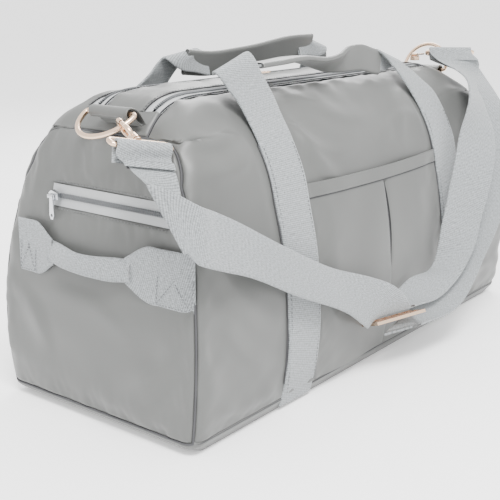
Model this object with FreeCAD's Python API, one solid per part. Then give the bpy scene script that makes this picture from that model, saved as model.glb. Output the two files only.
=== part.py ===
import FreeCAD, Part
import math
import os
from FreeCAD import Matrix, Vector

# Travel duffel: sewn nylon panels on a flat base, two zips along the top, a zipped pouch in each
# end, webbing carry handles, a grab handle, and a shoulder strap on two snap hooks and D-rings.
# Frame: +X along the bag, -Y the face with the open pocket, +Z up, origin at the centre of the base.

# ---- driving sizes, millimetres --------------------------------------------------------------
BAG_LENGTH = 450.0        # over the bellies of the two ends
BAG_DEPTH = 188.0         # front to back at the belly
BAG_HEIGHT = 226.0        # base to the middle of the top
BASE_RADIUS = 10.0        # height of the rolled edge round the base
BASE_TUCK = 4.0           # how far the rolled edge starts inside the belly
BELLY_Z = 80.0            # height of the fullest line of the front and back
SHOULDER_DROP = 76.0      # from the top down to the shoulder, where the front starts to lean in
SHOULDER_IN = 12.0
EAVES_DROP = 30.0         # from the top down to the eaves, where the carry handles leave the body
EAVES_IN = 32.0
CROWN_HALF = 26.0         # half the flat crown: the zips lie on these two lines
CROWN_DROP = 2.0
END_BELLY_Z = 110.0       # height of the fullest line of the ends
END_SHOULDER_DROP = 41.0
END_SHOULDER_IN = 18.0
END_CROWN_IN = 75.0       # from the belly of an end in to where the top runs level
EAVES_SLOPE = math.sqrt(0.5)  # the eaves face up and out at 45 degrees

PANEL = 1.6               # nylon with its foam and seam
FABRIC = 0.8              # single cloth: tapes, linings, pouches
LAYER_GAP = 0.3           # air between one sewn layer and the next
WEBBING_WIDTH = 38.0
WEBBING = 1.8             # thickness
FOOT_WRAP = 9.0           # how far the base panel turns up the sides

ZIP_TAPE = 7.0            # from a zip's middle to the edge of its tape
ZIP_COIL = 1.5            # half the width of the closed coil
ZIP_END = BAG_LENGTH / 2 - 38.0   # top zips stop this far either side of the middle
LEG_X = BAG_LENGTH / 4    # centre of each webbing leg, either side of the middle
POCKET_TOP = BAG_HEIGHT - 69.0    # hem of the front pocket
POCKET_FOOT = 12.0
POCKET_SPLIT_X = 4.0      # where the pocket is stitched into two
HEM = 10.0

END_TOP_DROP = 28.0       # from the top of the bag to the top edge of an end panel
END_TOP_HALF = 70.0
END_CORNER = 25.0
END_SIDE_Z = BAG_HEIGHT - 106.0   # below this an end panel is as wide as the bag
LEFT_ZIP_Z = BAG_HEIGHT - 72.0
LEFT_ZIP_Y = (29.0 - BAG_DEPTH / 2, BAG_DEPTH / 2 - 49.0)
RIGHT_ZIP_Z = 30.0
RIGHT_ZIP_Y = (24.0 - BAG_DEPTH / 2, BAG_DEPTH / 2 - 34.0)
POUCH_DEPTH = 4.4

RING_WIRE = 1.75          # radius of the D-ring wire
RING_HALF = 20.0          # half the inside width of a ring
RING_CORNER = 2.5
RING_X = BAG_LENGTH / 2 - 17.0    # bar of each ring, from the middle of the bag
RING_Z = BAG_HEIGHT - 13.0
RING_Y = -10.0
LEFT_RING_TILT = 32.0     # degrees below level that each ring lies at
RIGHT_RING_TILT = -70.0
TAB_WIDTH = 35.0
PIN_GAP = 0.3
EYE_PLAY = 0.55           # between a strap eye and the webbing sewn round it

HOOK_WIRE = 1.6
EYE_WIRE = 1.6
EYE_REACH = 7.0           # near bar to far bar of a strap eye
HOOK_HALF = 5.5           # half the width of a hook's claw, wire middles
HOOK_REACH = 16.0         # from the ring wire to the far bend of the claw
GATE_WIRE = 1.3
BARREL = 3.0              # radius of the swivel barrel
BARREL_LENGTH = 6.0
GATE_PIVOT = 7.9         # from the ring wire to the gate's hinge
STEM = 1.2
FLAP = 10.0               # sewn end of the strap, turned back under the eye
GRIP = 2.2                # wall of the sleeve round a carry handle
KNUCKLE = 1.5             # radius of the rolled edge that a carry handle turns on
HANDLE_RISE = 15.0        # crest of the carry handles over the top of the bag
GRAB_Z = BAG_HEIGHT - 110.0   # grab handle on the left end
GRAB_Y = (56.0 - BAG_DEPTH / 2, BAG_DEPTH / 2 - 58.0)  # between its two sewn patches
GRAB_PATCH = (2.0 - BAG_DEPTH / 2, BAG_DEPTH / 2 - 22.0)  # far edges of the patches
GRAB_BOW = 9.0
GRAB_HALF = 6.5           # half the height of the grab handle's grip
SLIDER = (9.0, 7.5, 3.2)  # length, width, height of a zip slider
PULL = (16.0, 4.6, 1.1)   # length, width, thickness of a zip pull
FRONT_SLIDER_X = (34.5 - LEG_X, ZIP_END - 29.0)
BACK_SLIDER_X = ZIP_END - 67.0
LEFT_SLIDER_Y = LEFT_ZIP_Y[1] - 7.0
RIGHT_SLIDER_Y = RIGHT_ZIP_Y[0] + 8.0

ADJUSTER_AT = (-18.0, -114.0, 44.0)
ADJUSTER_ALONG = (0.32, 0.88, -0.34)
ADJUSTER_ACROSS = (0.94, -0.32, 0.04)
ADJUSTER_HALF = 24.0
ADJUSTER_WIDTH = 20.0
ADJUSTER_THICK = 2.4

# The strap lies where it fell on a bag of the size LAID_ON: middle of the webbing, direction across it,
# direction out of it. On another size of bag each place moves in proportion.
LAID_ON = (450.0, 188.0, 226.0)
LEFT_RUN = [
    ((-231, -58, 182), (0.95, -0.3, -0.1), (0, 1, 0)),
    ((-234, -71, 166), (0.85, -0.45, -0.3), (0.5, 0.85, 0)),
    ((-233, -86, 156), (0.5, -0.5, -0.7), (1, 0.3, 0)),
    ((-220, -98, 149), (0.3, -0.2, -0.9), (0.7, -0.7, 0)),
    ((-196, -104, 137), (0.2, -0.1, -0.97), (0, -1, 0)),
    ((-145, -107, 110), (0.3, 0, -0.95), (0, -1, 0)),
    ((-80, -109, 79), (0.3, 0, -0.95), (0, -1, 0)),
    ((-42, -111.5, 60.5), (-0.3, 0.2, -0.93), (-0.4, -0.9, 0)),
    ((-19, -113.3, 48.8), (-0.94, 0.32, -0.04), (0, -0.3, -1)),
]
INNER_RUN = [
    ((-12, -113, 47.8), (0.94, -0.32, 0.04), (0, 0.3, 1)),
    ((37, -112, 55), (0.76, -0.54, -0.35), (-0.5, -0.3, 0.8)),
    ((78, -114, 70), (0.83, -0.52, 0.17), (-0.5, -0.6, 0.6)),
    ((91, -114, 100), (0.85, -0.5, -0.1), (-0.5, -0.85, 0.2)),
    ((108, -113, 138), (0.75, -0.6, 0.1), (-0.6, -0.75, 0.2)),
    ((140, -96, 178), (0.7, -0.65, 0.1), (-0.6, -0.65, 0.4)),
    ((168, -72, 212), (0.65, -0.75, 0.0), (-0.5, -0.5, 0.7)),
]
OUTER_RUN = [
    ((-10, -118, 33.2), (0.94, -0.32, 0.04), (0, -0.3, -1)),
    ((62, -122, 42.5), (0.8, -0.5, -0.3), (0.3, 0.2, -0.9)),
    ((128, -118, 66), (0.85, -0.5, 0.1), (0.3, 0.6, -0.7)),
    ((180, -113, 98), (0.8, -0.5, -0.1), (0.4, 0.8, -0.4)),
    ((202, -106, 148), (0.75, -0.6, 0.0), (0.6, 0.8, -0.2)),
    ((212, -86, 193), (0.7, -0.7, 0.0), (0.6, 0.6, -0.4)),
    ((203, -68, 215), (0.62, -0.78, 0.0), (0.75, 0.6, 0.3)),
    ((190.5, -45.5, 224), (0.56, -0.83, 0.0), (0.84, 0.54, 0)),
]

os.makedirs("parts", exist_ok=True)
X = Vector(1, 0, 0)
Y = Vector(0, 1, 0)
Z = Vector(0, 0, 1)


# ---- helpers ------------------------------------------------------------------------------------
def save(name, shape):
    """Write one node; report its volume so that a bad solid shows at once."""
    shape = shape if shape.ShapeType == "Solid" else Part.makeCompound(shape.Solids)
    if not shape.isValid() or not shape.Solids:
        print("BAD", name)
    shape.exportStep("parts/%s.step" % name)
    print("%-26s %2d solids %10.1f mm3" % (name, len(shape.Solids), shape.Volume))


def box(x0, x1, y0, y1, z0, z1):
    """A block between two values on each axis, in either order."""
    low = Vector(min(x0, x1), min(y0, y1), min(z0, z1))
    return Part.makeBox(abs(x1 - x0), abs(y1 - y0), abs(z1 - z0), low)


def bow(a, middle, b):
    """A three-point arc."""
    return Part.Arc(a, middle, b).toShape()


def line(a, b):
    return Part.LineSegment(a, b).toShape()


def mirrored(edges, normal):
    return [edge.mirror(Vector(0, 0, 0), normal) for edge in edges]


def closed_face(edges):
    return Part.Face(Part.Wire(Part.__sortEdges__(edges)))


def prism(edges, axis, half):
    """The closed outline drawn out to either side along axis."""
    return closed_face(edges).translated(axis * -half).extrude(axis * 2 * half)


# ---- the bag's outline ----------------------------------------------------------------------
def foot_curve(half, inset):
    """The rolled edge between the base and a wall: where it leaves the base, its middle, its top."""
    foot = half - BASE_RADIUS
    return (foot, inset), (foot + 0.7 * BASE_RADIUS, inset + 0.3 * BASE_RADIUS), (half, inset + BASE_RADIUS)


def cross_outline(inset):
    """Front-to-back outline, moved inward by inset: rolled foot, full belly, leaning shoulder, crown."""
    half = BAG_DEPTH / 2 - inset
    lean = half - SHOULDER_IN
    eaves = BAG_DEPTH / 2 - EAVES_IN - inset * EAVES_SLOPE
    eaves_z = BAG_HEIGHT - EAVES_DROP - inset * EAVES_SLOPE
    shoulder_z = BAG_HEIGHT - SHOULDER_DROP
    crown_z = BAG_HEIGHT - CROWN_DROP - inset
    foot, knee, heel = [Vector(0, y, z) for y, z in foot_curve(half - BASE_TUCK, inset)]
    side = [
        bow(foot, knee, heel),
        bow(heel, Vector(0, half, BELLY_Z), Vector(0, lean, shoulder_z)),
        bow(Vector(0, lean, shoulder_z), Vector(0, eaves, eaves_z), Vector(0, CROWN_HALF, crown_z)),
    ]
    top = Vector(0, 0, BAG_HEIGHT - inset)
    crown = bow(Vector(0, CROWN_HALF, crown_z), top, Vector(0, -CROWN_HALF, crown_z))
    base = line(Vector(0, -foot.y, inset), foot)
    return side + mirrored(side, Y) + [crown, base]


def long_outline(inset):
    """End-to-end outline, moved inward by inset: ends that lean in as they rise, and a level top."""
    half = BAG_LENGTH / 2 - inset
    lean = half - END_SHOULDER_IN
    shoulder_z = BAG_HEIGHT - END_SHOULDER_DROP
    crown_x = BAG_LENGTH / 2 - END_CROWN_IN
    crown_z = BAG_HEIGHT - inset
    foot, knee, heel = [Vector(x, 0, z) for x, z in foot_curve(half, inset)]
    shoulder = Vector((lean + crown_x) / 2 + 9.0, 0, BAG_HEIGHT - END_SHOULDER_DROP / 2 + 7.0 - inset * EAVES_SLOPE)
    end = [
        bow(foot, knee, heel),
        bow(heel, Vector(half - 3.0, 0, END_BELLY_Z), Vector(lean, 0, shoulder_z)),
        bow(Vector(lean, 0, shoulder_z), shoulder, Vector(crown_x, 0, crown_z)),
    ]
    top = line(Vector(crown_x, 0, crown_z), Vector(-crown_x, 0, crown_z))
    base = line(Vector(-foot.x, 0, inset), foot)
    return end + mirrored(end, X) + [top, base]


def cross_prism(inset):
    return prism(cross_outline(inset), X, BAG_LENGTH / 2 + 5.0)


def long_prism(inset):
    return prism(long_outline(inset), Y, BAG_DEPTH / 2 + 5.0)


def block(inset, end_inset=None):
    """The bag's whole volume, moved inward by inset (and by end_inset at the two ends)."""
    return cross_prism(inset).common(long_prism(inset if end_inset is None else end_inset))


def end_outline(side):
    """What lies inside an end panel's seam: as wide as the bag low down, a rounded top above."""
    top = BAG_HEIGHT - END_TOP_DROP
    wide = BAG_DEPTH / 2 + 6.0
    corner = END_CORNER * (1 - math.sqrt(0.5))
    half_edges = [
        line(Vector(0, 0, FOOT_WRAP), Vector(0, wide, FOOT_WRAP)),
        line(Vector(0, wide, FOOT_WRAP), Vector(0, wide, END_SIDE_Z)),
        line(Vector(0, wide, END_SIDE_Z), Vector(0, END_TOP_HALF, top - END_CORNER)),
        bow(Vector(0, END_TOP_HALF, top - END_CORNER), Vector(0, END_TOP_HALF - corner, top - corner),
            Vector(0, END_TOP_HALF - END_CORNER, top)),
        line(Vector(0, END_TOP_HALF - END_CORNER, top), Vector(0, 0, top)),
    ]
    face = closed_face(half_edges + mirrored(half_edges, Y))
    return face.translated(X * side * (BAG_LENGTH / 2 - END_CROWN_IN)).extrude(X * side * (END_CROWN_IN + 5.0))


OUTER = block(0)
CAVITY = block(PANEL)
WALL = OUTER.cut(CAVITY)
BOTTOM_BLOCK = box(-BAG_LENGTH, BAG_LENGTH, -BAG_DEPTH, BAG_DEPTH, -1, FOOT_WRAP)
TAPE_SKIN = block(0.4).cut(block(0.4 + FABRIC))
COIL_SKIN = OUTER.cut(block(0.4 + FABRIC))


def top_zip_cells(y):
    """Blocks over the whole slot, each tape and the coil of a top zip."""
    low, high = BAG_HEIGHT - END_SHOULDER_DROP, BAG_HEIGHT + 5
    slot = box(-ZIP_END, ZIP_END, y - ZIP_TAPE, y + ZIP_TAPE, low, high)
    coil = box(-ZIP_END, ZIP_END, y - ZIP_COIL, y + ZIP_COIL, low, high)
    return slot, coil


def end_zip_cells(side, z, reach):
    """The same blocks for a zip across an end."""
    x0, x1 = side * (BAG_LENGTH / 2 - 40.0), side * (BAG_LENGTH / 2 + 5.0)
    slot = box(x0, x1, reach[0], reach[1], z - ZIP_TAPE, z + ZIP_TAPE)
    coil = box(x0, x1, reach[0], reach[1], z - ZIP_COIL, z + ZIP_COIL)
    return slot, coil


def zip_solids(slot, coil):
    """Two tapes and the closed coil between them, as deep as the skins."""
    tapes = TAPE_SKIN.common(slot).cut(coil)
    return tapes, COIL_SKIN.common(coil)


# ---- panels --------------------------------------------------------------------------------
def make_panels():
    save("bottom_panel", WALL.common(BOTTOM_BLOCK))
    rest = WALL.cut(BOTTOM_BLOCK)
    end_walls = OUTER.cut(long_prism(PANEL)).cut(BOTTOM_BLOCK)
    slots = {}
    for label, side, z, reach in (("left", -1, LEFT_ZIP_Z, LEFT_ZIP_Y), ("right", 1, RIGHT_ZIP_Z, RIGHT_ZIP_Y)):
        outline = end_outline(side)
        panel = end_walls.common(outline)
        rest = rest.cut(panel)
        slot, coil = end_zip_cells(side, z, reach)
        above = box(-BAG_LENGTH, BAG_LENGTH, -BAG_DEPTH, BAG_DEPTH, z, BAG_HEIGHT + 5)
        save(label + "_end_upper", panel.common(above).cut(slot))
        save(label + "_end_lower", panel.cut(above).cut(slot))
        slots[label] = zip_solids(slot, coil)
    for label, sign in (("front", -1), ("back", 1)):
        slot, coil = top_zip_cells(sign * CROWN_HALF)
        slots[label] = zip_solids(slot, coil)
        rest = rest.cut(slot)
        inner_edge = CROWN_HALF + ZIP_TAPE
        reach = box(-BAG_LENGTH, BAG_LENGTH, sign * inner_edge, sign * BAG_DEPTH, 0, BAG_HEIGHT + 5)
        save(label + "_panel", rest.common(reach))
    edge = CROWN_HALF + ZIP_TAPE
    middle = box(-BAG_LENGTH, BAG_LENGTH, -edge, edge, BAG_HEIGHT / 2, BAG_HEIGHT + 5)
    save("top_strip", rest.common(middle))
    for label, (tapes, coil) in slots.items():
        save(label + "_zip_tapes", tapes)
        save(label + "_zip_coil", coil)


# ---- what is sewn on the front and back ----------------------------------------------------------
def sleeve(inner, outer, x0, x1, y_sign, z0, z1):
    """A layer of cloth on the front or back, between two offsets out from the body."""
    layer = cross_prism(-outer).cut(cross_prism(-inner))
    return layer.common(box(x0, x1, 0, y_sign * BAG_DEPTH, z0, z1))


def make_front_and_back():
    leg_top = BAG_HEIGHT - EAVES_DROP - KNUCKLE - LAYER_GAP
    low = LAYER_GAP + WEBBING
    for label, sign in (("front", -1), ("back", 1)):
        for side, x in (("left", -LEG_X), ("right", LEG_X)):
            leg = sleeve(LAYER_GAP, LAYER_GAP + WEBBING, x - WEBBING_WIDTH / 2, x + WEBBING_WIDTH / 2,
                         sign, low, leg_top)
            save("%s_leg_%s" % (label, side), leg)
    edge = LEG_X - WEBBING_WIDTH / 2 - LAYER_GAP
    seam = 0.4
    spans = (("left", -edge, POCKET_SPLIT_X - seam), ("right", POCKET_SPLIT_X + seam, edge))
    hems = []
    for side, x0, x1 in spans:
        save("front_pocket_" + side,
             sleeve(LAYER_GAP, LAYER_GAP + FABRIC, x0, x1, -1, POCKET_FOOT, POCKET_TOP - HEM))
        hems.append(sleeve(LAYER_GAP, LAYER_GAP + 2 * FABRIC, x0, x1, -1, POCKET_TOP - HEM, POCKET_TOP))
    save("front_pocket_hems", Part.makeCompound(hems))


# ---- inside ---------------------------------------------------------------------------------
def make_inside():
    pouch_room = PANEL + LAYER_GAP + POUCH_DEPTH
    skin = PANEL + LAYER_GAP
    lining_end = pouch_room + LAYER_GAP
    lining = block(skin, lining_end).cut(block(skin + FABRIC, lining_end + FABRIC))
    mouth_low = BAG_HEIGHT - END_SHOULDER_DROP
    for sign in (-1, 1):
        y = sign * CROWN_HALF
        lining = lining.cut(box(-ZIP_END, ZIP_END, y - ZIP_TAPE, y + ZIP_TAPE, mouth_low, BAG_HEIGHT))
    save("lining", lining)
    room = block(skin + FABRIC + LAYER_GAP, lining_end + FABRIC + LAYER_GAP)
    board_z = skin + FABRIC
    board = 2.5
    half_x = BAG_LENGTH / 2 - lining_end - FABRIC - BASE_RADIUS
    half_y = BAG_DEPTH / 2 - BASE_TUCK - BASE_RADIUS
    save("base_board", box(-half_x, half_x, -half_y, half_y, board_z, board_z + board))
    sheet = box(-BAG_LENGTH, BAG_LENGTH, -FABRIC / 2, FABRIC / 2, board_z + board + LAYER_GAP, BAG_HEIGHT)
    save("compartment_divider", room.common(sheet))
    for label, side, z, reach in (("left", -1, LEFT_ZIP_Z, LEFT_ZIP_Y), ("right", 1, RIGHT_ZIP_Z, RIGHT_ZIP_Y)):
        hang = 100.0 if z > BAG_HEIGHT / 2 else 10.0
        rise = 10.0 if z > BAG_HEIGHT / 2 else 100.0
        cell = box(0, side * BAG_LENGTH, reach[0] + 6, reach[1] - 6, z - hang, z + rise)
        hollow = box(0, side * BAG_LENGTH, reach[0] + 6 + FABRIC, reach[1] - 6 - FABRIC,
                     z - hang + FABRIC, z + rise - FABRIC)
        pouch = long_prism(skin).cut(long_prism(pouch_room)).common(cell)
        inner = long_prism(skin + FABRIC).cut(long_prism(pouch_room - FABRIC)).common(hollow)
        save(label + "_pouch", pouch.cut(inner))


# ---- webbing that stands off the bag -------------------------------------------------------------
def ribbon(stations, width, thickness):
    """Flat webbing through stations of (middle, across, out): a ruled loft of its cross-sections."""
    wires = []
    for middle, across, out in stations:
        a = Vector(across).normalize() * (width / 2)
        n = Vector(out) - Vector(across) * (Vector(out).dot(Vector(across)) / Vector(across).Length ** 2)
        n = n.normalize() * (thickness / 2)
        m = Vector(middle)
        wires.append(Part.makePolygon([m - a - n, m + a - n, m + a + n, m - a + n, m - a - n]))
    return Part.makeLoft(wires, True, True)


def carry_handle(name, sign, lean, sag):
    """Two webbing legs rise from the eaves, turn over at the top and meet in a wrapped grip."""
    hinge_y = sign * (BAG_DEPTH / 2 - EAVES_IN + (KNUCKLE + LAYER_GAP) / EAVES_SLOPE)
    hinge_z = BAG_HEIGHT - EAVES_DROP
    crest_z = BAG_HEIGHT + HANDLE_RISE
    crest_y = hinge_y - sign * lean
    grip_y = crest_y - sign * 8.0
    grip_half = LEG_X - WEBBING_WIDTH
    legs = []
    for side in (-1, 1):
        x = side * LEG_X
        leg = ribbon([
            ((x, hinge_y, hinge_z), (side, 0, 0), (0, sign, 0.4)),
            ((x, hinge_y - sign * 0.5 * lean, hinge_z + 24.0), (side, 0, 0), (0, sign, 0.8)),
            ((x - side * 2.0, crest_y, crest_z - 9.0), (side, 0, 0.3), (0, sign, 1.2)),
            ((x - side * 14.0, crest_y - sign * 4.0, crest_z - 4.0), (side, -sign * 0.7, 0.7), (0, sign, 1.6)),
            ((side * (grip_half + 6.0), grip_y, crest_z - 5.0), (0, -sign, 0.7), (0, sign * 0.6, 1)),
            ((side * grip_half, grip_y, crest_z - 7.0), (0, -sign, 0.8), (0, sign * 0.6, 1)),
        ], WEBBING_WIDTH, WEBBING)
        root = Part.makeCylinder(KNUCKLE, WEBBING_WIDTH, Vector(x - WEBBING_WIDTH / 2, hinge_y, hinge_z), X)
        legs.append(leg.fuse(root))
    half = grip_half - LAYER_GAP
    spine = [(-half, crest_z - 7.0), (-half * 0.4, crest_z - sag), (half * 0.4, crest_z - sag), (half, crest_z - 7.0)]
    stations = [((x, grip_y, z), (0, -sign, 0.8), (0, sign * 0.6, 1)) for x, z in spine]
    save(name + "_handle_webbing", Part.makeCompound(legs))
    save(name + "_handle_grip", ribbon(stations, WEBBING_WIDTH - 2 * GRIP, WEBBING + 2 * GRIP))


def end_layer(side, inner, outer, y0, y1, z0, z1):
    """A layer of cloth on an end, between two offsets out from the body."""
    layer = long_prism(-outer).cut(long_prism(-inner))
    return layer.common(box(0, side * (BAG_LENGTH / 2 + 10.0), y0, y1, z0, z1))


def make_grab_handle():
    low, high = GRAB_Z - WEBBING_WIDTH / 2, GRAB_Z + WEBBING_WIDTH / 2
    front = end_layer(-1, LAYER_GAP, LAYER_GAP + WEBBING, GRAB_PATCH[0], GRAB_Y[0], low, high)
    back = end_layer(-1, LAYER_GAP, LAYER_GAP + WEBBING, GRAB_Y[1], GRAB_PATCH[1], low, high)
    save("grab_patches", Part.makeCompound([front, back]))
    y0, y1 = GRAB_Y[0] + LAYER_GAP, GRAB_Y[1] - LAYER_GAP
    face_x = -BAG_LENGTH / 2 + 2.0
    stand = LAYER_GAP + WEBBING + 1.4
    steps = [(0.0, stand), (0.18, stand + 0.55 * (GRAB_BOW - stand)), (0.4, GRAB_BOW), (0.62, GRAB_BOW),
             (0.84, stand + 0.5 * (GRAB_BOW - stand)), (1.0, stand)]
    stations = [((face_x - out, y0 + share * (y1 - y0), GRAB_Z), (0, 0, 1), (-1, 0, 0)) for share, out in steps]
    save("grab_grip", ribbon(stations, 2 * GRAB_HALF, WEBBING + 1.2))


# ---- rings and hooks --------------------------------------------------------------------------
def swept_rod(edges, radius):
    """Round wire bent along a chain of edges."""
    path = Part.Wire(edges)
    first = path.OrderedEdges[0]
    start = first.valueAt(first.FirstParameter)
    heading = first.tangentAt(first.FirstParameter)
    ring = Part.Wire(Part.makeCircle(radius, start, heading))
    return path.makePipeShell([ring], True, False)


def placed(shape, origin, along, across):
    """Set a shape drawn in local axes down with its X on along and its Y near across."""
    x = Vector(along).normalize()
    z = x.cross(Vector(across)).normalize()
    y = z.cross(x)
    matrix = Matrix(x.x, y.x, z.x, origin.x, x.y, y.y, z.y, origin.y, x.z, y.z, z.z, origin.z, 0, 0, 0, 1)
    return shape.transformed(matrix)


def rounded_loop(x0, x1, half, corner):
    """A rectangle with round corners, from x0 to x1 and half either side, as a chain of edges."""
    cut = corner * (1 - math.sqrt(0.5))
    return [
        line(Vector(x0, -half + corner, 0), Vector(x0, half - corner, 0)),
        bow(Vector(x0, half - corner, 0), Vector(x0 + cut, half - cut, 0), Vector(x0 + corner, half, 0)),
        line(Vector(x0 + corner, half, 0), Vector(x1 - corner, half, 0)),
        bow(Vector(x1 - corner, half, 0), Vector(x1 - cut, half - cut, 0), Vector(x1, half - corner, 0)),
        line(Vector(x1, half - corner, 0), Vector(x1, -half + corner, 0)),
        bow(Vector(x1, -half + corner, 0), Vector(x1 - cut, -half + cut, 0), Vector(x1 - corner, -half, 0)),
        line(Vector(x1 - corner, -half, 0), Vector(x0 + corner, -half, 0)),
        bow(Vector(x0 + corner, -half, 0), Vector(x0 + cut, -half + cut, 0), Vector(x0, -half + corner, 0)),
    ]


def ring_frame(side, tilt):
    """Where a D-ring's bar is, and which way its bow points."""
    bar = Vector(side * RING_X, RING_Y, RING_Z)
    heading = Vector(side * math.cos(math.radians(tilt)), 0, -math.sin(math.radians(tilt)))
    return bar, heading


def ring_point(side, tilt, turn):
    """Middle and direction of the ring's wire at an angle round the bow from its front end."""
    bar, heading = ring_frame(side, tilt)
    half = RING_HALF + RING_WIRE
    angle = math.radians(turn)
    middle = bar + heading * (RING_CORNER + half * math.sin(angle)) - Y * (half * math.cos(angle))
    return middle, heading * math.cos(angle) + Y * math.sin(angle)


def d_ring(side, tilt):
    """A straight bar, two tight corners and a round bow, in one wire."""
    half = RING_HALF + RING_WIRE
    cut = RING_CORNER * (1 - math.sqrt(0.5))
    edges = [
        line(Vector(0, RING_CORNER - half, 0), Vector(0, half - RING_CORNER, 0)),
        bow(Vector(0, half - RING_CORNER, 0), Vector(cut, half - cut, 0), Vector(RING_CORNER, half, 0)),
        bow(Vector(RING_CORNER, half, 0), Vector(RING_CORNER + half, 0, 0), Vector(RING_CORNER, -half, 0)),
        bow(Vector(RING_CORNER, -half, 0), Vector(cut, cut - half, 0), Vector(0, RING_CORNER - half, 0)),
    ]
    bar, heading = ring_frame(side, tilt)
    return placed(swept_rod(edges, RING_WIRE), bar, heading, Y)


def ring_tab(side):
    """Cloth tab rolled round a ring's bar and sewn down into the top seam of an end."""
    bore = RING_WIRE + PIN_GAP
    skin = bore + WEBBING
    y0 = RING_Y - TAB_WIDTH / 2
    seam_z = BAG_HEIGHT - END_TOP_DROP
    roll = Part.makeCylinder(skin, TAB_WIDTH, Vector(RING_X, y0, RING_Z), Y)
    foot_x = RING_X - 14.0
    strip = Part.makePolygon([
        Vector(RING_X + 1.2, y0, RING_Z), Vector(RING_X - 2.4, y0, RING_Z),
        Vector(foot_x - 2.4, y0, seam_z - 4.0), Vector(foot_x + 1.2, y0, seam_z - 4.0),
        Vector(RING_X + 1.2, y0, RING_Z),
    ])
    tab = roll.fuse(Part.Face(strip).extrude(Y * TAB_WIDTH))
    tab = tab.cut(Part.makeCylinder(bore, TAB_WIDTH, Vector(RING_X, y0, RING_Z), Y))
    if side < 0:
        tab = tab.mirror(Vector(0, 0, 0), X)
    return tab.cut(OUTER)


def hook_claw():
    """Claw bent from wire, open on one side for the gate, with the barrel of the swivel."""
    near = HOOK_HALF - RING_WIRE - HOOK_WIRE - PIN_GAP
    far = HOOK_REACH - HOOK_HALF
    lip = near + 1.6
    edges = [
        line(Vector(lip, HOOK_HALF, 0), Vector(near, HOOK_HALF, 0)),
        bow(Vector(near, HOOK_HALF, 0), Vector(near - HOOK_HALF, 0, 0), Vector(near, -HOOK_HALF, 0)),
        line(Vector(near, -HOOK_HALF, 0), Vector(far, -HOOK_HALF, 0)),
        bow(Vector(far, -HOOK_HALF, 0), Vector(HOOK_REACH, 0, 0), Vector(far, HOOK_HALF, 0)),
        line(Vector(far, HOOK_HALF, 0), Vector(far - 1.0, HOOK_HALF, 0)),
    ]
    barrel_start = HOOK_REACH - HOOK_WIRE
    barrel = Part.makeCylinder(BARREL, BARREL_LENGTH, Vector(barrel_start, 0, 0), X)
    bore = Part.makeCylinder(STEM + PIN_GAP, BARREL_LENGTH, Vector(barrel_start + 2.0, 0, 0), X)
    return swept_rod(edges, HOOK_WIRE).fuse(barrel).cut(bore)


def hook_gate():
    """Spring gate of a hook: a rod with a round hinge end that closes the claw."""
    near = HOOK_HALF - RING_WIRE - HOOK_WIRE - PIN_GAP
    start = near + 1.6 + 0.4
    pivot = GATE_PIVOT
    rod = Part.makeCylinder(GATE_WIRE, pivot - start, Vector(start, HOOK_HALF, 0), X)
    return rod.fuse(Part.makeSphere(GATE_WIRE, Vector(pivot, HOOK_HALF, 0)))


def strap_eye():
    """Stem, collar and the long loop that the strap turns round."""
    end = HOOK_REACH - HOOK_WIRE + BARREL_LENGTH
    half = WEBBING_WIDTH / 2 + LAYER_GAP + EYE_WIRE
    near_bar = end + PIN_GAP + 2.0
    stem = Part.makeCylinder(STEM, near_bar - (end - BARREL_LENGTH + 2.3), Vector(end - BARREL_LENGTH + 2.3, 0, 0), X)
    collar = Part.makeCylinder(BARREL - 0.4, 1.6, Vector(end + PIN_GAP, 0, 0), X)
    loop = swept_rod(rounded_loop(near_bar, near_bar + EYE_REACH, half, 2.6), EYE_WIRE)
    return stem.fuse(collar).fuse(loop)


def hook_frame(side, tilt, turn, heading):
    """A hook's local axes: origin in the ring's wire, X towards the strap, Z along the wire."""
    middle, wire = ring_point(side, tilt, turn)
    h = Vector(heading).normalize()
    h = (h - wire * h.dot(wire)).normalize()
    return middle, h, wire.cross(h)


def make_ring_and_hook(label, side, tilt, turn, heading, eye_across):
    save(label + "_ring_tab", ring_tab(side))
    save(label + "_ring", d_ring(side, tilt))
    origin, h, across = hook_frame(side, tilt, turn, heading)
    save(label + "_hook", placed(hook_claw(), origin, h, across))
    save(label + "_hook_gate", placed(hook_gate(), origin, h, across))
    save(label + "_strap_eye", placed(strap_eye(), origin, h, Vector(eye_across)))
    far_bar = HOOK_REACH - HOOK_WIRE + BARREL_LENGTH + PIN_GAP + 2.0 + EYE_REACH
    e = Vector(eye_across) - h * h.dot(Vector(eye_across))
    e.normalize()
    print(label, "ring wire at", origin, "hook axis", h, "gate side", across, "eye bar", origin + h * far_bar, e)
    return origin + h * far_bar, e


# ---- zip sliders ---------------------------------------------------------------------------
def slider_body(bar_across):
    """Wedge-ended slider with a bridge on top; local X along the zip, Z out of the cloth."""
    length, width, height = SLIDER
    nose = Part.makePolygon([
        Vector(-length / 2, -width / 2 + 1.6, 0), Vector(length / 2 - 2.6, -width / 2, 0),
        Vector(length / 2, -width / 4, 0), Vector(length / 2, width / 4, 0),
        Vector(length / 2 - 2.6, width / 2, 0), Vector(-length / 2, width / 2 - 1.6, 0),
        Vector(-length / 2, -width / 2 + 1.6, 0),
    ])
    body = Part.Face(nose).extrude(Z * height)
    reach = PULL[1] / 2 + PIN_GAP
    post = 0.8
    axis = Y if bar_across else X
    side = X if bar_across else Y
    bar_z = height + PULL[2] / 2 + 1.1
    bar = Part.makeCylinder(0.7, 2 * (reach + post), Vector(0, 0, bar_z) - axis * (reach + post), axis)
    for sign in (-1, 1):
        corner = axis * (sign * (reach + post / 2)) - axis * (post / 2) - side * 1.2 + Z * (height - 0.2)
        size = axis * post + side * 2.4 + Z * (bar_z + 0.9 - height)
        body = body.fuse(Part.makeBox(size.x, size.y, size.z, corner))
    return body.fuse(bar)


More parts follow.
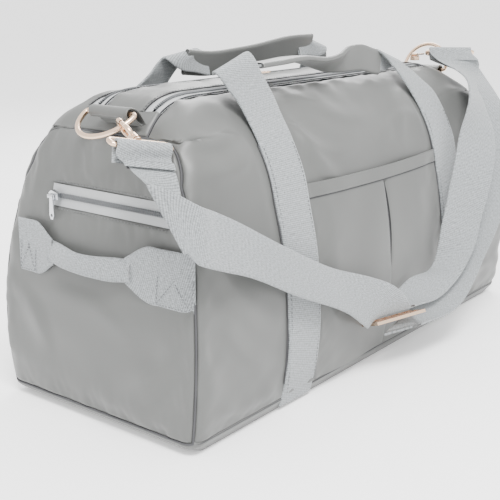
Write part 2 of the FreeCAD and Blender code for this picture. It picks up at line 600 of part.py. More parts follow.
def slider_pull(bar_across, heading):
    """Flat pull with an eye round the bridge's bar and a small hole near its tip."""
    length, width, thick = PULL
    axis = Y if bar_across else X
    side = (X if bar_across else Y) * heading
    bar_z = SLIDER[2] + thick / 2 + 1.1
    eye = Part.makeCylinder(1.5, width, Vector(0, 0, bar_z) - axis * (width / 2), axis)
    far = side * length
    a, b = axis * (width / 2), axis * (width / 2 - 0.9)
    z = Vector(0, 0, bar_z - thick / 2)
    leaf = Part.makePolygon([z - b, z + b, z + far * 0.8 + a, z + far + a * 0.5, z + far - a * 0.5,
                             z + far * 0.8 - a, z - b])
    leaf = Part.Face(leaf).extrude(Z * thick)
    hole = Part.makeCylinder(1.1, 4 * thick, z + far * 0.82 - Z * thick, Z)
    bore = Part.makeCylinder(0.7 + PIN_GAP, 2 * width, Vector(0, 0, bar_z) - axis * width, axis)
    return eye.fuse(leaf).cut(hole).cut(bore)


def make_slider(label, origin, along, across, bar_across, heading):
    print(label, "slider at", origin)
    save(label + "_slider", placed(slider_body(bar_across), origin, along, across))
    save(label + "_pull", placed(slider_pull(bar_across, heading), origin, along, across))


def make_sliders():
    rise = BAG_HEIGHT - CROWN_DROP * (1 - SLIDER[1] / 2 / CROWN_HALF) ** 2 + PIN_GAP
    make_slider("front_left", Vector(FRONT_SLIDER_X[0], -CROWN_HALF, rise), -X, -Y, True, -1)
    make_slider("front_right", Vector(FRONT_SLIDER_X[1], -CROWN_HALF, rise), X, Y, True, 1)
    make_slider("back", Vector(BACK_SLIDER_X, CROWN_HALF, rise), X, Y, True, 1)
    lift = PIN_GAP + 0.2
    make_slider("left_end", Vector(end_face_x(-1, LEFT_ZIP_Z) - lift, LEFT_SLIDER_Y, LEFT_ZIP_Z), Y, -Z, False, 1)
    make_slider("right_end", Vector(end_face_x(1, RIGHT_ZIP_Z) + lift, RIGHT_SLIDER_Y, RIGHT_ZIP_Z), -Y, -Z, False, 1)


def end_face_x(side, z):
    """Where the end wall stands furthest out beside a slider at this height."""
    band = box(0, side * BAG_LENGTH, -1, 1, z - SLIDER[1] / 2, z + SLIDER[1] / 2)
    reach = OUTER.common(band).BoundBox
    return reach.XMax if side > 0 else reach.XMin


# ---- shoulder strap ---------------------------------------------------------------------------
def turn_round(bar, across, start, end):
    """Stations of the strap on its way round an eye's bar, by angle from level towards up."""
    out = Z.cross(across).normalize()
    up = across.cross(out)
    radius = EYE_WIRE + EYE_PLAY + WEBBING / 2
    stations = []
    for step in range(5):
        angle = math.radians(start + (end - start) * step / 4)
        normal = out * math.cos(angle) + up * math.sin(angle)
        stations.append((bar + normal * radius, across, normal))
    return stations


def adjuster():
    """Three-bar slide: a plate with two slots for the strap."""
    length, width = 2 * ADJUSTER_HALF, ADJUSTER_WIDTH
    plate = Part.makeBox(width, length, ADJUSTER_THICK, Vector(-width / 2, -length / 2, -ADJUSTER_THICK / 2))
    slot = width / 2 - 4.2
    for sign in (-1, 1):
        x = sign * (width / 4 - 0.2) - slot / 2
        plate = plate.cut(Part.makeBox(slot, length - 6.0, 4, Vector(x, -length / 2 + 3.0, -2)))
    return plate


def as_laid(place):
    """A place of the fallen strap, moved in proportion to the bag's size."""
    real = (BAG_LENGTH, BAG_DEPTH, BAG_HEIGHT)
    return Vector(*[value * now / then for value, now, then in zip(place, real, LAID_ON)])


def strap_run(stations):
    """One free run of the strap through its stations."""
    return ribbon([(Vector(m), Vector(a), Vector(n)) for m, a, n in stations], WEBBING_WIDTH, WEBBING)


def make_strap(left, right):
    bar, e = left
    back = Z.cross(e).normalize()
    fold = e.cross(back) * FLAP
    lay = back * (WEBBING / 2 + LAYER_GAP)
    flap = [(bar - lay - fold, e, -back)]
    left_run, inner_run, outer_run = [
        [(as_laid(m), a, n) for m, a, n in run] for run in (LEFT_RUN, INNER_RUN, OUTER_RUN)]
    save("strap_long", strap_run(flap + turn_round(bar, e, 180, 0) + [(bar + lay - fold, e, back)] + left_run))
    bar, e = right
    save("strap_loop", strap_run(inner_run + turn_round(bar, e, 180, 0) + outer_run[::-1]))
    slide = placed(adjuster(), as_laid(ADJUSTER_AT), Vector(ADJUSTER_ALONG), Vector(ADJUSTER_ACROSS))
    save("strap_adjuster", slide)


make_panels()
make_front_and_back()
make_inside()
carry_handle("front", -1, 18.0, 12.0)
carry_handle("back", 1, 16.0, 3.0)
make_grab_handle()
left_bar = make_ring_and_hook("left", -1, LEFT_RING_TILT, 25.0, (-0.275, -0.92, -0.27), (0.958, -0.235, -0.17))
right_bar = make_ring_and_hook("right", 1, RIGHT_RING_TILT, 13.0, (-0.77, -0.5, 0.4), (0.55, -0.84, 0.0))
make_sliders()
make_strap(left_bar, right_bar)
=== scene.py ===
import math

import bpy
import numpy as np
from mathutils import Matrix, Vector


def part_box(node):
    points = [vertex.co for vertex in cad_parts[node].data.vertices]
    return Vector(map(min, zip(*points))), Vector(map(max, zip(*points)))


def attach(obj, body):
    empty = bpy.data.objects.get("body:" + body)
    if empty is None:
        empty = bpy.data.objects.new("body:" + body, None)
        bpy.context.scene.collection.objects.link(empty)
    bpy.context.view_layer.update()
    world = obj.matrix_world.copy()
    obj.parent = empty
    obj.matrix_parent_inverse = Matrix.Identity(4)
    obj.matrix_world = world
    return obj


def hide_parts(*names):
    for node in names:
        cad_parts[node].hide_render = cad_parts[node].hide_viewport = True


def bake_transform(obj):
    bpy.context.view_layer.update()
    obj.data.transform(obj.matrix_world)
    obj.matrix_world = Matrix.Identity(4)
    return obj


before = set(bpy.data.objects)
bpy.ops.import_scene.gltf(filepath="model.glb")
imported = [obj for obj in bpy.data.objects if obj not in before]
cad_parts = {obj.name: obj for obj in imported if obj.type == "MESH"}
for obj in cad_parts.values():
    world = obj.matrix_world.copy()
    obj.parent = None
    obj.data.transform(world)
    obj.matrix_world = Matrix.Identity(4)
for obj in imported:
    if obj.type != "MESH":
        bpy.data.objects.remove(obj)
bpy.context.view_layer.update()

# Duffel bag: the sewn shell, webbing, zips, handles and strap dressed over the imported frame.
# Shapes are worked out in millimetres in the frame's axes and turned into metres by build_mesh.

MM = 0.001
WALLS = (("front", -1), ("back", 1))
ENDS = (("left", -1), ("right", 1))
BASE_CORNERS = ((1, -1), (1, 1), (-1, 1), (-1, -1), (1, -1))   # round the base and back to the start


def node_box(*names):
    """Lowest and highest corners of some frame nodes, in millimetres."""
    lows, highs = zip(*[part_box(name) for name in names])
    return np.min(np.array(lows), axis=0) / MM, np.max(np.array(highs), axis=0) / MM


SHELL_LOW, SHELL_HIGH = node_box("front_panel", "back_panel", "bottom_panel", "top_strip")
HALF_LENGTH = (SHELL_HIGH[0] - SHELL_LOW[0]) / 2
HALF_DEPTH = (SHELL_HIGH[1] - SHELL_LOW[1]) / 2
TOP = SHELL_HIGH[2]
COIL_LOW, COIL_HIGH = node_box("back_zip_coil")
ZIP_Y = COIL_LOW[1] + 1.5
ZIP_END = COIL_HIGH[0]
TAPES_LOW, TAPES_HIGH = node_box("back_zip_tapes")
TAPE_HALF = (TAPES_HIGH[1] - TAPES_LOW[1]) / 2
WRAP_Z = node_box("bottom_panel")[1][2]
LEG_LOW, LEG_HIGH = node_box("front_leg_right")
LEG_X = (LEG_LOW[0] + LEG_HIGH[0]) / 2
WEBBING_WIDTH = LEG_HIGH[0] - LEG_LOW[0]
WEBBING_THICKNESS = 1.8
CORNER_SOFTNESS = 11.0   # how far the shell's long edges are rounded over
SEAM_CALM = 14.0         # from this far off a seam the cloth shows its full relief
PATCH_LOW, PATCH_HIGH = node_box("grab_patches")
GRIP_LOW, GRIP_HIGH = node_box("grab_grip")
GRAB_Z = (PATCH_LOW[2] + PATCH_HIGH[2]) / 2


def end_zip(label):
    """Height of an end's zip and how far its coil runs to either side."""
    low, high = node_box(label + "_zip_coil")
    return (low[2] + high[2]) / 2, (low[1], high[1])


# ---- mesh helpers -----------------------------------------------------------------------------
def build_mesh(name, points, faces, uv):
    """One smooth object from points in millimetres; uv holds one pair of millimetres for each."""
    mesh = bpy.data.meshes.new(name)
    corners = [tuple(int(i) for i in face) for face in faces]
    mesh.from_pydata((np.asarray(points) * MM).tolist(), [], corners)
    layer = mesh.uv_layers.new(name="cloth")
    index = np.empty(len(mesh.loops), dtype=np.int64)
    mesh.loops.foreach_get("vertex_index", index)
    layer.data.foreach_set("uv", (np.asarray(uv)[index] * MM).astype(np.float32).ravel())
    mesh.polygons.foreach_set("use_smooth", [True] * len(mesh.polygons))
    mesh.update()
    piece = bpy.data.objects.new(name, mesh)
    bpy.context.scene.collection.objects.link(piece)
    return piece


def grid_faces(rows, columns, loop=False):
    """Quads of a grid stored row by row; loop joins the last column to the first."""
    faces = []
    last = columns if loop else columns - 1
    for row in range(rows - 1):
        for column in range(last):
            a, b = row * columns + column, row * columns + (column + 1) % columns
            faces.append((a, b, b + columns, a + columns))
    return faces


def flipped(faces):
    """The same faces looking the other way."""
    return [face[::-1] for face in faces]


def unit(v):
    v = np.asarray(v, dtype=float)
    return v / np.maximum(np.linalg.norm(v, axis=-1, keepdims=True), 1e-9)


def smoothstep(low, high, value):
    t = np.clip((np.asarray(value, dtype=float) - low) / (high - low), 0, 1)
    return t * t * (3 - 2 * t)


def bump(value, centre, width):
    """A round hump one high, width to either side of centre."""
    return np.exp(-(((np.asarray(value, dtype=float) - centre) / width) ** 2))


def arc_points(a, middle, b, count=24):
    """Points along the circle through three points of a plane."""
    a, middle, b = (np.array(p, dtype=float) for p in (a, middle, b))
    d = 2 * (a[0] * (middle[1] - b[1]) + middle[0] * (b[1] - a[1]) + b[0] * (a[1] - middle[1]))
    sa, sm, sb = a @ a, middle @ middle, b @ b
    cx = (sa * (middle[1] - b[1]) + sm * (b[1] - a[1]) + sb * (a[1] - middle[1])) / d
    cy = (sa * (b[0] - middle[0]) + sm * (a[0] - b[0]) + sb * (middle[0] - a[0])) / d
    centre = np.array([cx, cy])
    angles = np.unwrap([math.atan2(*(p - centre)[::-1]) for p in (a, middle, b)])
    radius = np.linalg.norm(a - centre)
    turn = np.linspace(angles[0], angles[2], count)
    return centre + radius * np.column_stack([np.cos(turn), np.sin(turn)])


def walked(points):
    """Distance along a line up to each of its points."""
    steps = np.linalg.norm(np.diff(points, axis=0), axis=1)
    return np.concatenate([[0], np.cumsum(steps)])


def read_at(where, at, values):
    """Rows of values, known at some distances along a line, read at others."""
    return np.column_stack([np.interp(where, at, column) for column in np.transpose(values)])


def resample(points, count):
    """The same line with count points evenly spaced along it."""
    at = walked(points)
    return read_at(np.linspace(0, at[-1], count), at, points)


# ---- the bag's outlines ----------------------------------------------------------------------
def cross_profile():
    """Half of the front-to-back outline as (y, z), from the base's middle up to the crown's middle."""
    h = HALF_DEPTH
    parts = [
        [(0.0, 0.0), (h - 14, 0.0)],
        arc_points((h - 14, 0), (h - 7, 3), (h - 4, 10)),
        arc_points((h - 4, 10), (h, 80), (h - 12, TOP - 76)),
        arc_points((h - 12, TOP - 76), (h - 32, TOP - 30), (26, TOP - 2)),
        arc_points((26, TOP - 2), (13, TOP - 0.6), (0, TOP)),
    ]
    return np.vstack([np.asarray(p) for p in parts])


def long_profile():
    """Half of the end-to-end outline as (x, z), from the base's middle up to the level top."""
    h = HALF_LENGTH
    parts = [
        [(0.0, 0.0), (h - 10, 0.0)],
        arc_points((h - 10, 0), (h - 3, 3), (h, 10)),
        arc_points((h, 10), (h - 3, 110), (h - 18, TOP - 41)),
        arc_points((h - 18, TOP - 41), (h - 37.5, TOP - 13.5), (h - 75, TOP)),
        [(0.0, TOP)],
    ]
    return np.vstack([np.asarray(p) for p in parts])


CROSS = resample(cross_profile(), 260)
LONG = resample(long_profile(), 320)
TABLE_LOW = -14.0


def outline_distance(outline, u, z):
    """Signed distance from (|u|, z) to a half outline: negative inside."""
    p = np.column_stack([np.abs(u), z])
    best = np.full(len(p), 1e9)
    sign = np.ones(len(p))
    for start, end in zip(outline[:-1], outline[1:]):
        edge = end - start
        t = np.clip(((p - start) @ edge) / max(edge @ edge, 1e-12), 0, 1)
        gap = p - (start + t[:, None] * edge)
        distance = np.einsum("ij,ij->i", gap, gap)
        side = edge[0] * gap[:, 1] - edge[1] * gap[:, 0]
        nearer = distance < best
        best[nearer] = distance[nearer]
        sign[nearer] = np.where(side[nearer] > 0, -1.0, 1.0)
    return np.sqrt(best) * sign


def distance_table(outline, width):
    """The signed distance on a one-millimetre grid, worked out once."""
    u, z = np.meshgrid(np.arange(0, width), np.arange(TABLE_LOW, TOP + 30), indexing="ij")
    return outline_distance(outline, u.ravel(), z.ravel()).reshape(u.shape)


CROSS_TABLE = distance_table(CROSS, int(HALF_DEPTH + 40))
LONG_TABLE = distance_table(LONG, int(HALF_LENGTH + 40))


def look_up(table, u, z):
    u = np.clip(np.abs(u), 0, table.shape[0] - 1.001)
    z = np.clip(z - TABLE_LOW, 0, table.shape[1] - 1.001)
    i, j = u.astype(int), z.astype(int)
    a, b = u - i, z - j
    low = table[i, j] * (1 - a) + table[i + 1, j] * a
    high = table[i, j + 1] * (1 - a) + table[i + 1, j + 1] * a
    return low * (1 - b) + high * b


def body_distance(p):
    """Signed distance to the bag's shell, with its long edges softened."""
    cross = look_up(CROSS_TABLE, p[:, 1], p[:, 2])
    length = look_up(LONG_TABLE, p[:, 0], p[:, 2])
    near = np.maximum(CORNER_SOFTNESS - np.abs(cross - length), 0) / CORNER_SOFTNESS
    return np.maximum(cross, length) + near ** 2 * CORNER_SOFTNESS / 4


def top_at(x):
    """Height of the bag's top line at a distance along it."""
    upper = LONG[LONG[:, 1] > TOP - 60][::-1]
    return np.interp(np.abs(x), upper[:, 0], upper[:, 1])


def lowered(points):
    """Points drawn level with the top, let down onto the top line where it falls away at the ends."""
    points = np.array(points, dtype=float)
    high = points[..., 2] > TOP - 1
    points[..., 2] = np.where(high, top_at(points[..., 0]), points[..., 2])
    return points


def body_normal(p, step=1.5):
    """Outward direction of the shell at each point."""
    out = np.zeros_like(p)
    for axis in range(3):
        shift = np.zeros(3)
        shift[axis] = step
        out[:, axis] = body_distance(p + shift) - body_distance(p - shift)
    return unit(out)


def onto_body(points, rounds=4):
    """Move points straight to the nearest place on the shell; also the outward direction there."""
    p = np.array(points, dtype=float)
    for _ in range(rounds):
        p = p - body_normal(p) * body_distance(p)[:, None]
    return p, body_normal(p)


def side_of(outline):
    """The wall part of a half outline, from its foot up, as heights and widths to look up."""
    wall = outline[np.argmax(outline[:, 0] > outline[:, 0].max() - 12):]
    keep = np.concatenate([[True], np.diff(wall[:, 1]) > 1e-6])
    return wall[keep][:, 1], wall[keep][:, 0]


CROSS_Z, CROSS_Y = side_of(CROSS)
LONG_Z, LONG_X = side_of(LONG)


def depth_at(z):
    """Half depth of the bag at a height."""
    return np.interp(z, CROSS_Z, CROSS_Y)


def length_at(z):
    """Half length of the bag at a height."""
    return np.interp(z, LONG_Z, LONG_X)


# ---- soft relief -----------------------------------------------------------------------------
def waves(p, wavelength, seed, directions=9):
    """Smooth noise of about one, built of plane waves near one wavelength."""
    pick = np.random.default_rng(seed)
    total = np.zeros(len(p))
    for _ in range(directions):
        heading = unit(pick.normal(size=3))
        size = wavelength * pick.uniform(0.7, 1.5)
        total += np.sin(p @ heading * 2 * math.pi / size + pick.uniform(0, 6.3))
    return total / math.sqrt(directions / 2)


def edge_spaced(count, length):
    """Shares from 0 to 1, closer together near both ends so that a seam's roll is smooth."""
    near = np.array([0, 0.5, 1.1, 1.8, 2.8, 4.2, 6.2]) / length
    middle = np.linspace(near[-1], 1 - near[-1], max(count - 2 * len(near) + 2, 3))
    return np.concatenate([near[:-1], middle, 1 - near[-2::-1]])


def along_line(points, shares):
    """Points at shares of the length of a line."""
    at = walked(points)
    return read_at(shares, at / at[-1], points)


def seam_distance(grid):
    """Millimetres from each grid point to the nearest edge of its panel, along the cloth."""
    across = np.linalg.norm(np.diff(grid, axis=1), axis=2)
    down = np.linalg.norm(np.diff(grid, axis=0), axis=2)
    rows, columns = grid.shape[:2]
    left = np.concatenate([np.zeros((rows, 1)), np.cumsum(across, axis=1)], axis=1)
    top = np.concatenate([np.zeros((1, columns)), np.cumsum(down, axis=0)], axis=0)
    return left, left[:, -1:] - left, top, top[-1:] - top


def seam_roll(distance, depth=1.9, width=3.0):
    """How far a panel's edge turns down into its seam."""
    return -depth * (1 - smoothstep(0, width, distance)) ** 1.5


def pucker(p, distance, size=0.35, reach=9.0, seed=3):
    """The little gathers that stitches make beside a seam."""
    fine = np.exp(-distance / reach) * waves(p, 9.0, seed)
    broad = 1.4 * np.exp(-distance / (2 * reach)) * waves(p, 21.0, seed + 1)
    return size * smoothstep(0.3, 3.5, distance) * (fine + broad)


def above_lining(height, deepest=0.9):
    """Keep hollows in the cloth shallower than the lining behind it."""
    return np.where(height < 0, -deepest * np.tanh(-height / deepest), height)


def cloth_panel(guess, relief, roll=(1, 1, 1, 1)):
    """A panel on the bag's shell: guess is a grid of points near it, relief adds height by place.

    roll says which edges, left, right, foot and head, turn down into a seam."""
    rows, columns = guess.shape[:2]
    p, out = onto_body(lowered(guess).reshape(-1, 3))
    gaps = [gap.ravel() for gap in seam_distance(p.reshape(rows, columns, 3))]
    nearest = np.minimum.reduce([gap for gap, on in zip(gaps, roll) if on])
    height = above_lining(relief(p)) * smoothstep(0, SEAM_CALM, nearest) + seam_roll(nearest)
    height += pucker(p, nearest)
    return p + out * height[:, None], grid_faces(rows, columns), np.column_stack([gaps[0], gaps[2]])


def join(parts):
    """Several (points, faces, uv) lists as one."""
    points, faces, uvs, start = [], [], [], 0
    for p, f, uv in parts:
        points.append(np.asarray(p))
        uvs.append(np.asarray(uv))
        faces += [tuple(i + start for i in face) for face in f]
        start += len(p)
    return np.vstack(points), faces, np.vstack(uvs)


# ---- the sewn shell ---------------------------------------------------------------------------
END_TOP_Z = TOP - 28.0
END_TOP_HALF = 70.0
END_CORNER = 25.0
END_SIDE_Z = 120.0
STRIP_HALF = ZIP_Y - TAPE_HALF
SEAM_Y = ZIP_Y + TAPE_HALF


def end_half(z):
    """Half width of an end panel's outline at a height; far outside the bag low down."""
    z = np.asarray(z, dtype=float)
    slant = np.interp(z, [END_SIDE_Z, END_TOP_Z - END_CORNER], [HALF_DEPTH + 6, END_TOP_HALF])
    rise = np.clip((z - (END_TOP_Z - END_CORNER)) / END_CORNER, 0, 1)
    corner = END_TOP_HALF - END_CORNER + END_CORNER * np.sqrt(1 - rise ** 2)
    return np.where(z > END_TOP_Z - END_CORNER, corner, slant)


def wall_path(z, sign):
    """One row of a front or back panel at a height: end seam, corner, wall, corner, end seam."""
    depth, length = depth_at(z), length_at(z)
    edge = min(float(end_half(z)), depth) if z <= END_TOP_Z else SEAM_Y
    edge = min(max(edge, SEAM_Y), depth)
    corners = [(-length, edge), (-length, depth), (length, depth), (length, edge)]
    return [(x, sign * y, z) for x, y in corners]


def fold(u, v, start, end, width, height):
    """A soft ridge between two places of a panel, steeper on its lower side."""
    start, end = np.array(start, dtype=float), np.array(end, dtype=float)
    along = end - start
    length = np.linalg.norm(along)
    along /= length
    du, dv = u - start[0], v - start[1]
    t = (du * along[0] + dv * along[1]) / length
    off = -du * along[1] + dv * along[0] + 0.12 * length * np.sin(3.1 * t)
    side = np.where(off > 0, off / width, off / (0.55 * width))
    return 1.6 * height * np.exp(-side ** 2) * smoothstep(-0.12, 0.25, t) * (1 - smoothstep(0.6, 1.1, t))


# each fold: where it starts and where it ends, as (along the wall, up), then its width and height
WALL_FOLDS = [
    ((-88, 206), (-52, 150), 9, 2.2), ((-86, 190), (-20, 172), 7, 1.3), ((-60, 214), (30, 196), 10, 1.6),
    ((88, 204), (40, 172), 9, 1.9), ((84, 186), (10, 168), 7, 1.1), ((-205, 150), (-140, 60), 14, 2.0),
    ((-204, 95), (-138, 40), 11, 1.5), ((-200, 178), (-136, 190), 9, 1.7), ((-196, 196), (-140, 205), 7, 1.4),
    ((205, 150), (140, 70), 14, 2.0), ((200, 180), (136, 196), 9, 1.8), ((-60, 110), (-10, 60), 13, 1.1),
    ((70, 120), (20, 50), 13, 1.2), ((-206, 30), (-130, 24), 7, 1.0), ((206, 34), (130, 22), 7, 1.0),
]


def free_of_legs(p):
    """0 where a leg's webbing holds the cloth flat, 1 well away from it."""
    return smoothstep(WEBBING_WIDTH / 2 + 1, WEBBING_WIDTH / 2 + 13, np.abs(np.abs(p[:, 0]) - LEG_X))


def free_of_pocket(p):
    """0 behind the pocket, 1 well away from it."""
    low, high = node_box("front_pocket_left")[0], node_box("front_pocket_right")[1]
    inside = np.minimum(np.minimum(p[:, 0] - low[0], high[0] - p[:, 0]), high[2] - p[:, 2])
    return np.where(p[:, 1] < 0, 1 - smoothstep(-8, 2, inside), 1.0)


def wall_relief(p):
    """Soft fullness and lazy folds of the nylon between its seams."""
    middle = 2.6 * bump(p[:, 0], 0, 150) * bump(p[:, 2], 100, 60) + 0.8
    lazy = 1.0 * waves(p * [1, 1, 0.6], 120, 11) + 0.45 * waves(p * [1, 1, 1.4], 55, 12)
    full = middle + lazy + sum(fold(p[:, 0], p[:, 2], *each) for each in WALL_FOLDS)
    return full * free_of_legs(p) * free_of_pocket(p)


def make_wall(name, sign, node_name):
    """The front or back panel, from the seam at its foot up to the zip's tape."""
    crown = CROSS[::-1][: len(CROSS) // 3]
    top_z = np.interp(SEAM_Y, crown[:, 0], crown[:, 1])
    wall = np.column_stack([np.zeros(len(CROSS_Z)), CROSS_Y, CROSS_Z])
    wall = wall[(wall[:, 2] >= WRAP_Z) & (wall[:, 2] <= top_z)]
    heights = along_line(wall, edge_spaced(110, 250))[:, 2]
    heights[0], heights[-1] = WRAP_Z, top_z
    shares = edge_spaced(190, 500)
    rows = [along_line(wall_path(float(z), sign), shares) for z in heights]
    p, faces, uv = cloth_panel(np.array(rows), wall_relief)
    piece = build_mesh(name, p, flipped(faces) if sign > 0 else faces, uv)
    settle(piece, [node_name], "nylon", "bag")


# ---- finishes ---------------------------------------------------------------------------------
def srgb(r, g, b):
    """A colour given as 0-255 screen values, turned into the light values a shader wants."""
    shares = [v / 255 for v in (r, g, b)]
    dark = 10.3 / 255
    return tuple(v / 12.92 if v < dark else ((v + 0.055) / 1.055) ** 2.4 for v in shares) + (1.0,)


def new_group(name, inputs, outputs):
    """A node group that takes and gives plain numbers, with its way in and its way out."""
    group = bpy.data.node_groups.new(name, "ShaderNodeTree")
    number = "NodeSocketFloat"
    for label, value in inputs.items():
        socket = group.interface.new_socket(name=label, in_out="INPUT", socket_type=number)
        socket.default_value = value
    for label in outputs:
        group.interface.new_socket(name=label, in_out="OUTPUT", socket_type=number)
    return group, group.nodes.new("NodeGroupInput"), group.nodes.new("NodeGroupOutput")


def set_inputs(made, values):
    """Give some inputs of a node their values, by name or by place."""
    for key, value in values.items():
        made.inputs[key].default_value = value


def node(tree, kind, **settings):
    made = tree.nodes.new(kind)
    for key, value in settings.items():
        setattr(made, key, value)
    return made


def noise(tree, place, values, **settings):
    """A noise texture read at a place."""
    made = node(tree, "ShaderNodeTexNoise", **settings)
    set_inputs(made, values)
    tree.links.new(place, made.inputs["Vector"])
    return made


def math_node(tree, operation, *values):
    """One sum on numbers or on other nodes' outputs."""
    made = node(tree, "ShaderNodeMath", operation=operation)
    for socket, value in zip(made.inputs, values):
        if isinstance(value, (int, float)):
            socket.default_value = value
        else:
            tree.links.new(value, socket)
    return made.outputs[0]


def times(tree, a, b):
    return math_node(tree, "MULTIPLY", a, b)


def plus(tree, a, b):
    return math_node(tree, "ADD", a, b)


def minus(tree, a, b):
    return math_node(tree, "SUBTRACT", a, b)


def make_twill_group():
    """Heavy webbing: diagonal ribs across the width, with light and dark yarns mixed."""
    tree, inside, out = new_group("twill_webbing", {"Rib Pitch": 0.0021, "Yarn Mix": 0.5},
                                  ("Height", "Yarn", "Rib"))
    rib_slant, yarn_pitch, yarn_depth = 0.32, 0.0011, 0.28
    uv = node(tree, "ShaderNodeUVMap", uv_map="cloth")
    split = node(tree, "ShaderNodeSeparateXYZ")
    tree.links.new(uv.outputs[0], split.inputs[0])
    along, across = split.outputs[0], split.outputs[1]
    turns = math_node(tree, "DIVIDE", plus(tree, along, times(tree, across, rib_slant)),
                      inside.outputs["Rib Pitch"])
    rib = math_node(tree, "ABSOLUTE", math_node(tree, "SINE", times(tree, turns, math.pi)))
    yarn = math_node(tree, "SINE", times(tree, across, 2 * math.pi / yarn_pitch))
    tree.links.new(plus(tree, rib, times(tree, yarn, yarn_depth)), out.inputs["Height"])
    tree.links.new(rib, out.inputs["Rib"])
    stretch = node(tree, "ShaderNodeVectorMath", operation="MULTIPLY")
    stretch.inputs[1].default_value = (420.0, 1500.0, 1.0)
    tree.links.new(uv.outputs[0], stretch.inputs[0])
    speck = noise(tree, stretch.outputs[0], {"Scale": 1.0, "Detail": 3.0}, noise_dimensions="2D")
    mixed = times(tree, minus(tree, speck.outputs[0], 0.5), inside.outputs["Yarn Mix"])
    tree.links.new(mixed, out.inputs["Yarn"])
    return tree


def make_plain_weave_group():
    """Smooth tight nylon: a hair-fine weave and slow changes of tone where it has been handled."""
    tree, inside, out = new_group("plain_weave", {"Threads": 1500.0}, ("Height", "Tone", "Crease"))
    place = node(tree, "ShaderNodeTexCoord").outputs["Object"]
    weave = noise(tree, place, {"Detail": 2.0})
    tree.links.new(inside.outputs["Threads"], weave.inputs["Scale"])
    tree.links.new(weave.outputs[0], out.inputs["Height"])
    tone = noise(tree, place, {"Scale": 9.0, "Detail": 5.0, "Roughness": 0.6})
    tree.links.new(minus(tree, tone.outputs[0], 0.5), out.inputs["Tone"])
    crease = noise(tree, place, {"Scale": 26.0, "Detail": 4.0, "Distortion": 0.6})
    away = math_node(tree, "ABSOLUTE", minus(tree, crease.outputs[0], 0.5))
    tree.links.new(away, out.inputs["Crease"])
    return tree


TWILL = make_twill_group()
PLAIN = make_plain_weave_group()


def new_material(name):
    paint = bpy.data.materials.new(name)
    paint.use_nodes = True
    return paint, paint.node_tree, paint.node_tree.nodes["Principled BSDF"]


def shaded(tree, low, high, factor):
    """A mix of two colours by a value around zero."""
    mix = node(tree, "ShaderNodeMix", data_type="RGBA")
    set_inputs(mix, {6: low, 7: high})
    tree.links.new(plus(tree, factor, 0.5), mix.inputs[0])
    return mix.outputs[2]


def bumped(tree, shader, height, strength, distance):
    bump_node = node(tree, "ShaderNodeBump")
    set_inputs(bump_node, {"Strength": strength, "Distance": distance})
    tree.links.new(height, bump_node.inputs["Height"])
    tree.links.new(bump_node.outputs[0], shader.inputs["Normal"])


def plain_cloth(name, low, high, roughness, sheen):
    """Smooth cloth between two tones, with a fine weave and soft creases."""
    paint, tree, shader = new_material(name)
    weave = node(tree, "ShaderNodeGroup", node_tree=PLAIN).outputs
    tone = shaded(tree, low, high, times(tree, weave["Tone"], 0.9))
    tree.links.new(tone, shader.inputs["Base Color"])
    total = plus(tree, times(tree, weave["Height"], 0.5), times(tree, weave["Crease"], 6.0))
    bumped(tree, shader, total, 0.5, 0.00006)
    set_inputs(shader, {"Roughness": roughness, "Sheen Weight": sheen, "Sheen Roughness": 0.4,
                        "Specular IOR Level": 0.35})
    return paint


def webbing_cloth(name, low, high, roughness, pitch, mix, relief):
    """Ribbed webbing or tape between two tones."""
    paint, tree, shader = new_material(name)
    weave = node(tree, "ShaderNodeGroup", node_tree=TWILL)
    set_inputs(weave, {"Rib Pitch": pitch, "Yarn Mix": mix})
    ribs = times(tree, minus(tree, weave.outputs["Rib"], 0.6), 0.55)
    tone = plus(tree, weave.outputs["Yarn"], ribs)
    tree.links.new(shaded(tree, low, high, tone), shader.inputs["Base Color"])
    bumped(tree, shader, weave.outputs["Height"], 0.7, relief)
    set_inputs(shader, {"Roughness": roughness, "Sheen Weight": 0.25, "Specular IOR Level": 0.3})
    return paint


def metal(name, tint, roughness):
    """Polished metal, very slightly rubbed."""
    paint, tree, shader = new_material(name)
    place = node(tree, "ShaderNodeTexCoord").outputs["Object"]
    rub = noise(tree, place, {"Scale": 240.0, "Detail": 4.0}).outputs[0]
    set_inputs(shader, {"Base Color": tint, "Metallic": 1.0})
    tree.links.new(plus(tree, times(tree, rub, 0.16), roughness), shader.inputs["Roughness"])
    bumped(tree, shader, rub, 0.15, 0.0002)
    return paint


GREY_NYLON = srgb(79, 80, 79), srgb(91, 92, 90)
GREY_WEBBING = srgb(90, 93, 94), srgb(150, 154, 156)
GREY_TAPE = srgb(142, 144, 145), srgb(165, 167, 168)
GREY_COIL = srgb(74, 76, 78), srgb(100, 102, 104)
GREY_LINING = srgb(120, 121, 122), srgb(134, 135, 136)
# the board finish is a dark grey, and every strip of painted shade uses it: in the seams, beside the legs,
# under the pocket hem and the strap's flap, and behind the pleat
GREY_BOARD_PAINTED_SHADE = srgb(60, 60, 62), srgb(70, 70, 72)
FINISHES = {
    "nylon": plain_cloth("grey_nylon", *GREY_NYLON, 0.42, 0.12),
    "webbing": webbing_cloth("twill_webbing_grey", *GREY_WEBBING, 0.8, 0.0014, 1.5, 0.00018),
    "zip_tape": webbing_cloth("zip_tape_grey", *GREY_TAPE, 0.75, 0.0008, 0.4, 0.00008),
    "zip_coil": plain_cloth("zip_coil_grey", *GREY_COIL, 0.38, 0.0),
    "lining": plain_cloth("lining_grey", *GREY_LINING, 0.7, 0.1),
    "board": plain_cloth("board_grey_painted_shade", *GREY_BOARD_PAINTED_SHADE, 0.8, 0.0),
    "rose_metal": metal("rose_gold", srgb(226, 196, 170), 0.16),
    "silver_metal": metal("bright_silver", srgb(205, 207, 210), 0.14),
}


def finish(piece, slot_name):
    """Give a piece one of the finishes, the one named by slot_name."""
    piece.data.materials.clear()
    piece.data.materials.append(FINISHES[slot_name])
    return piece


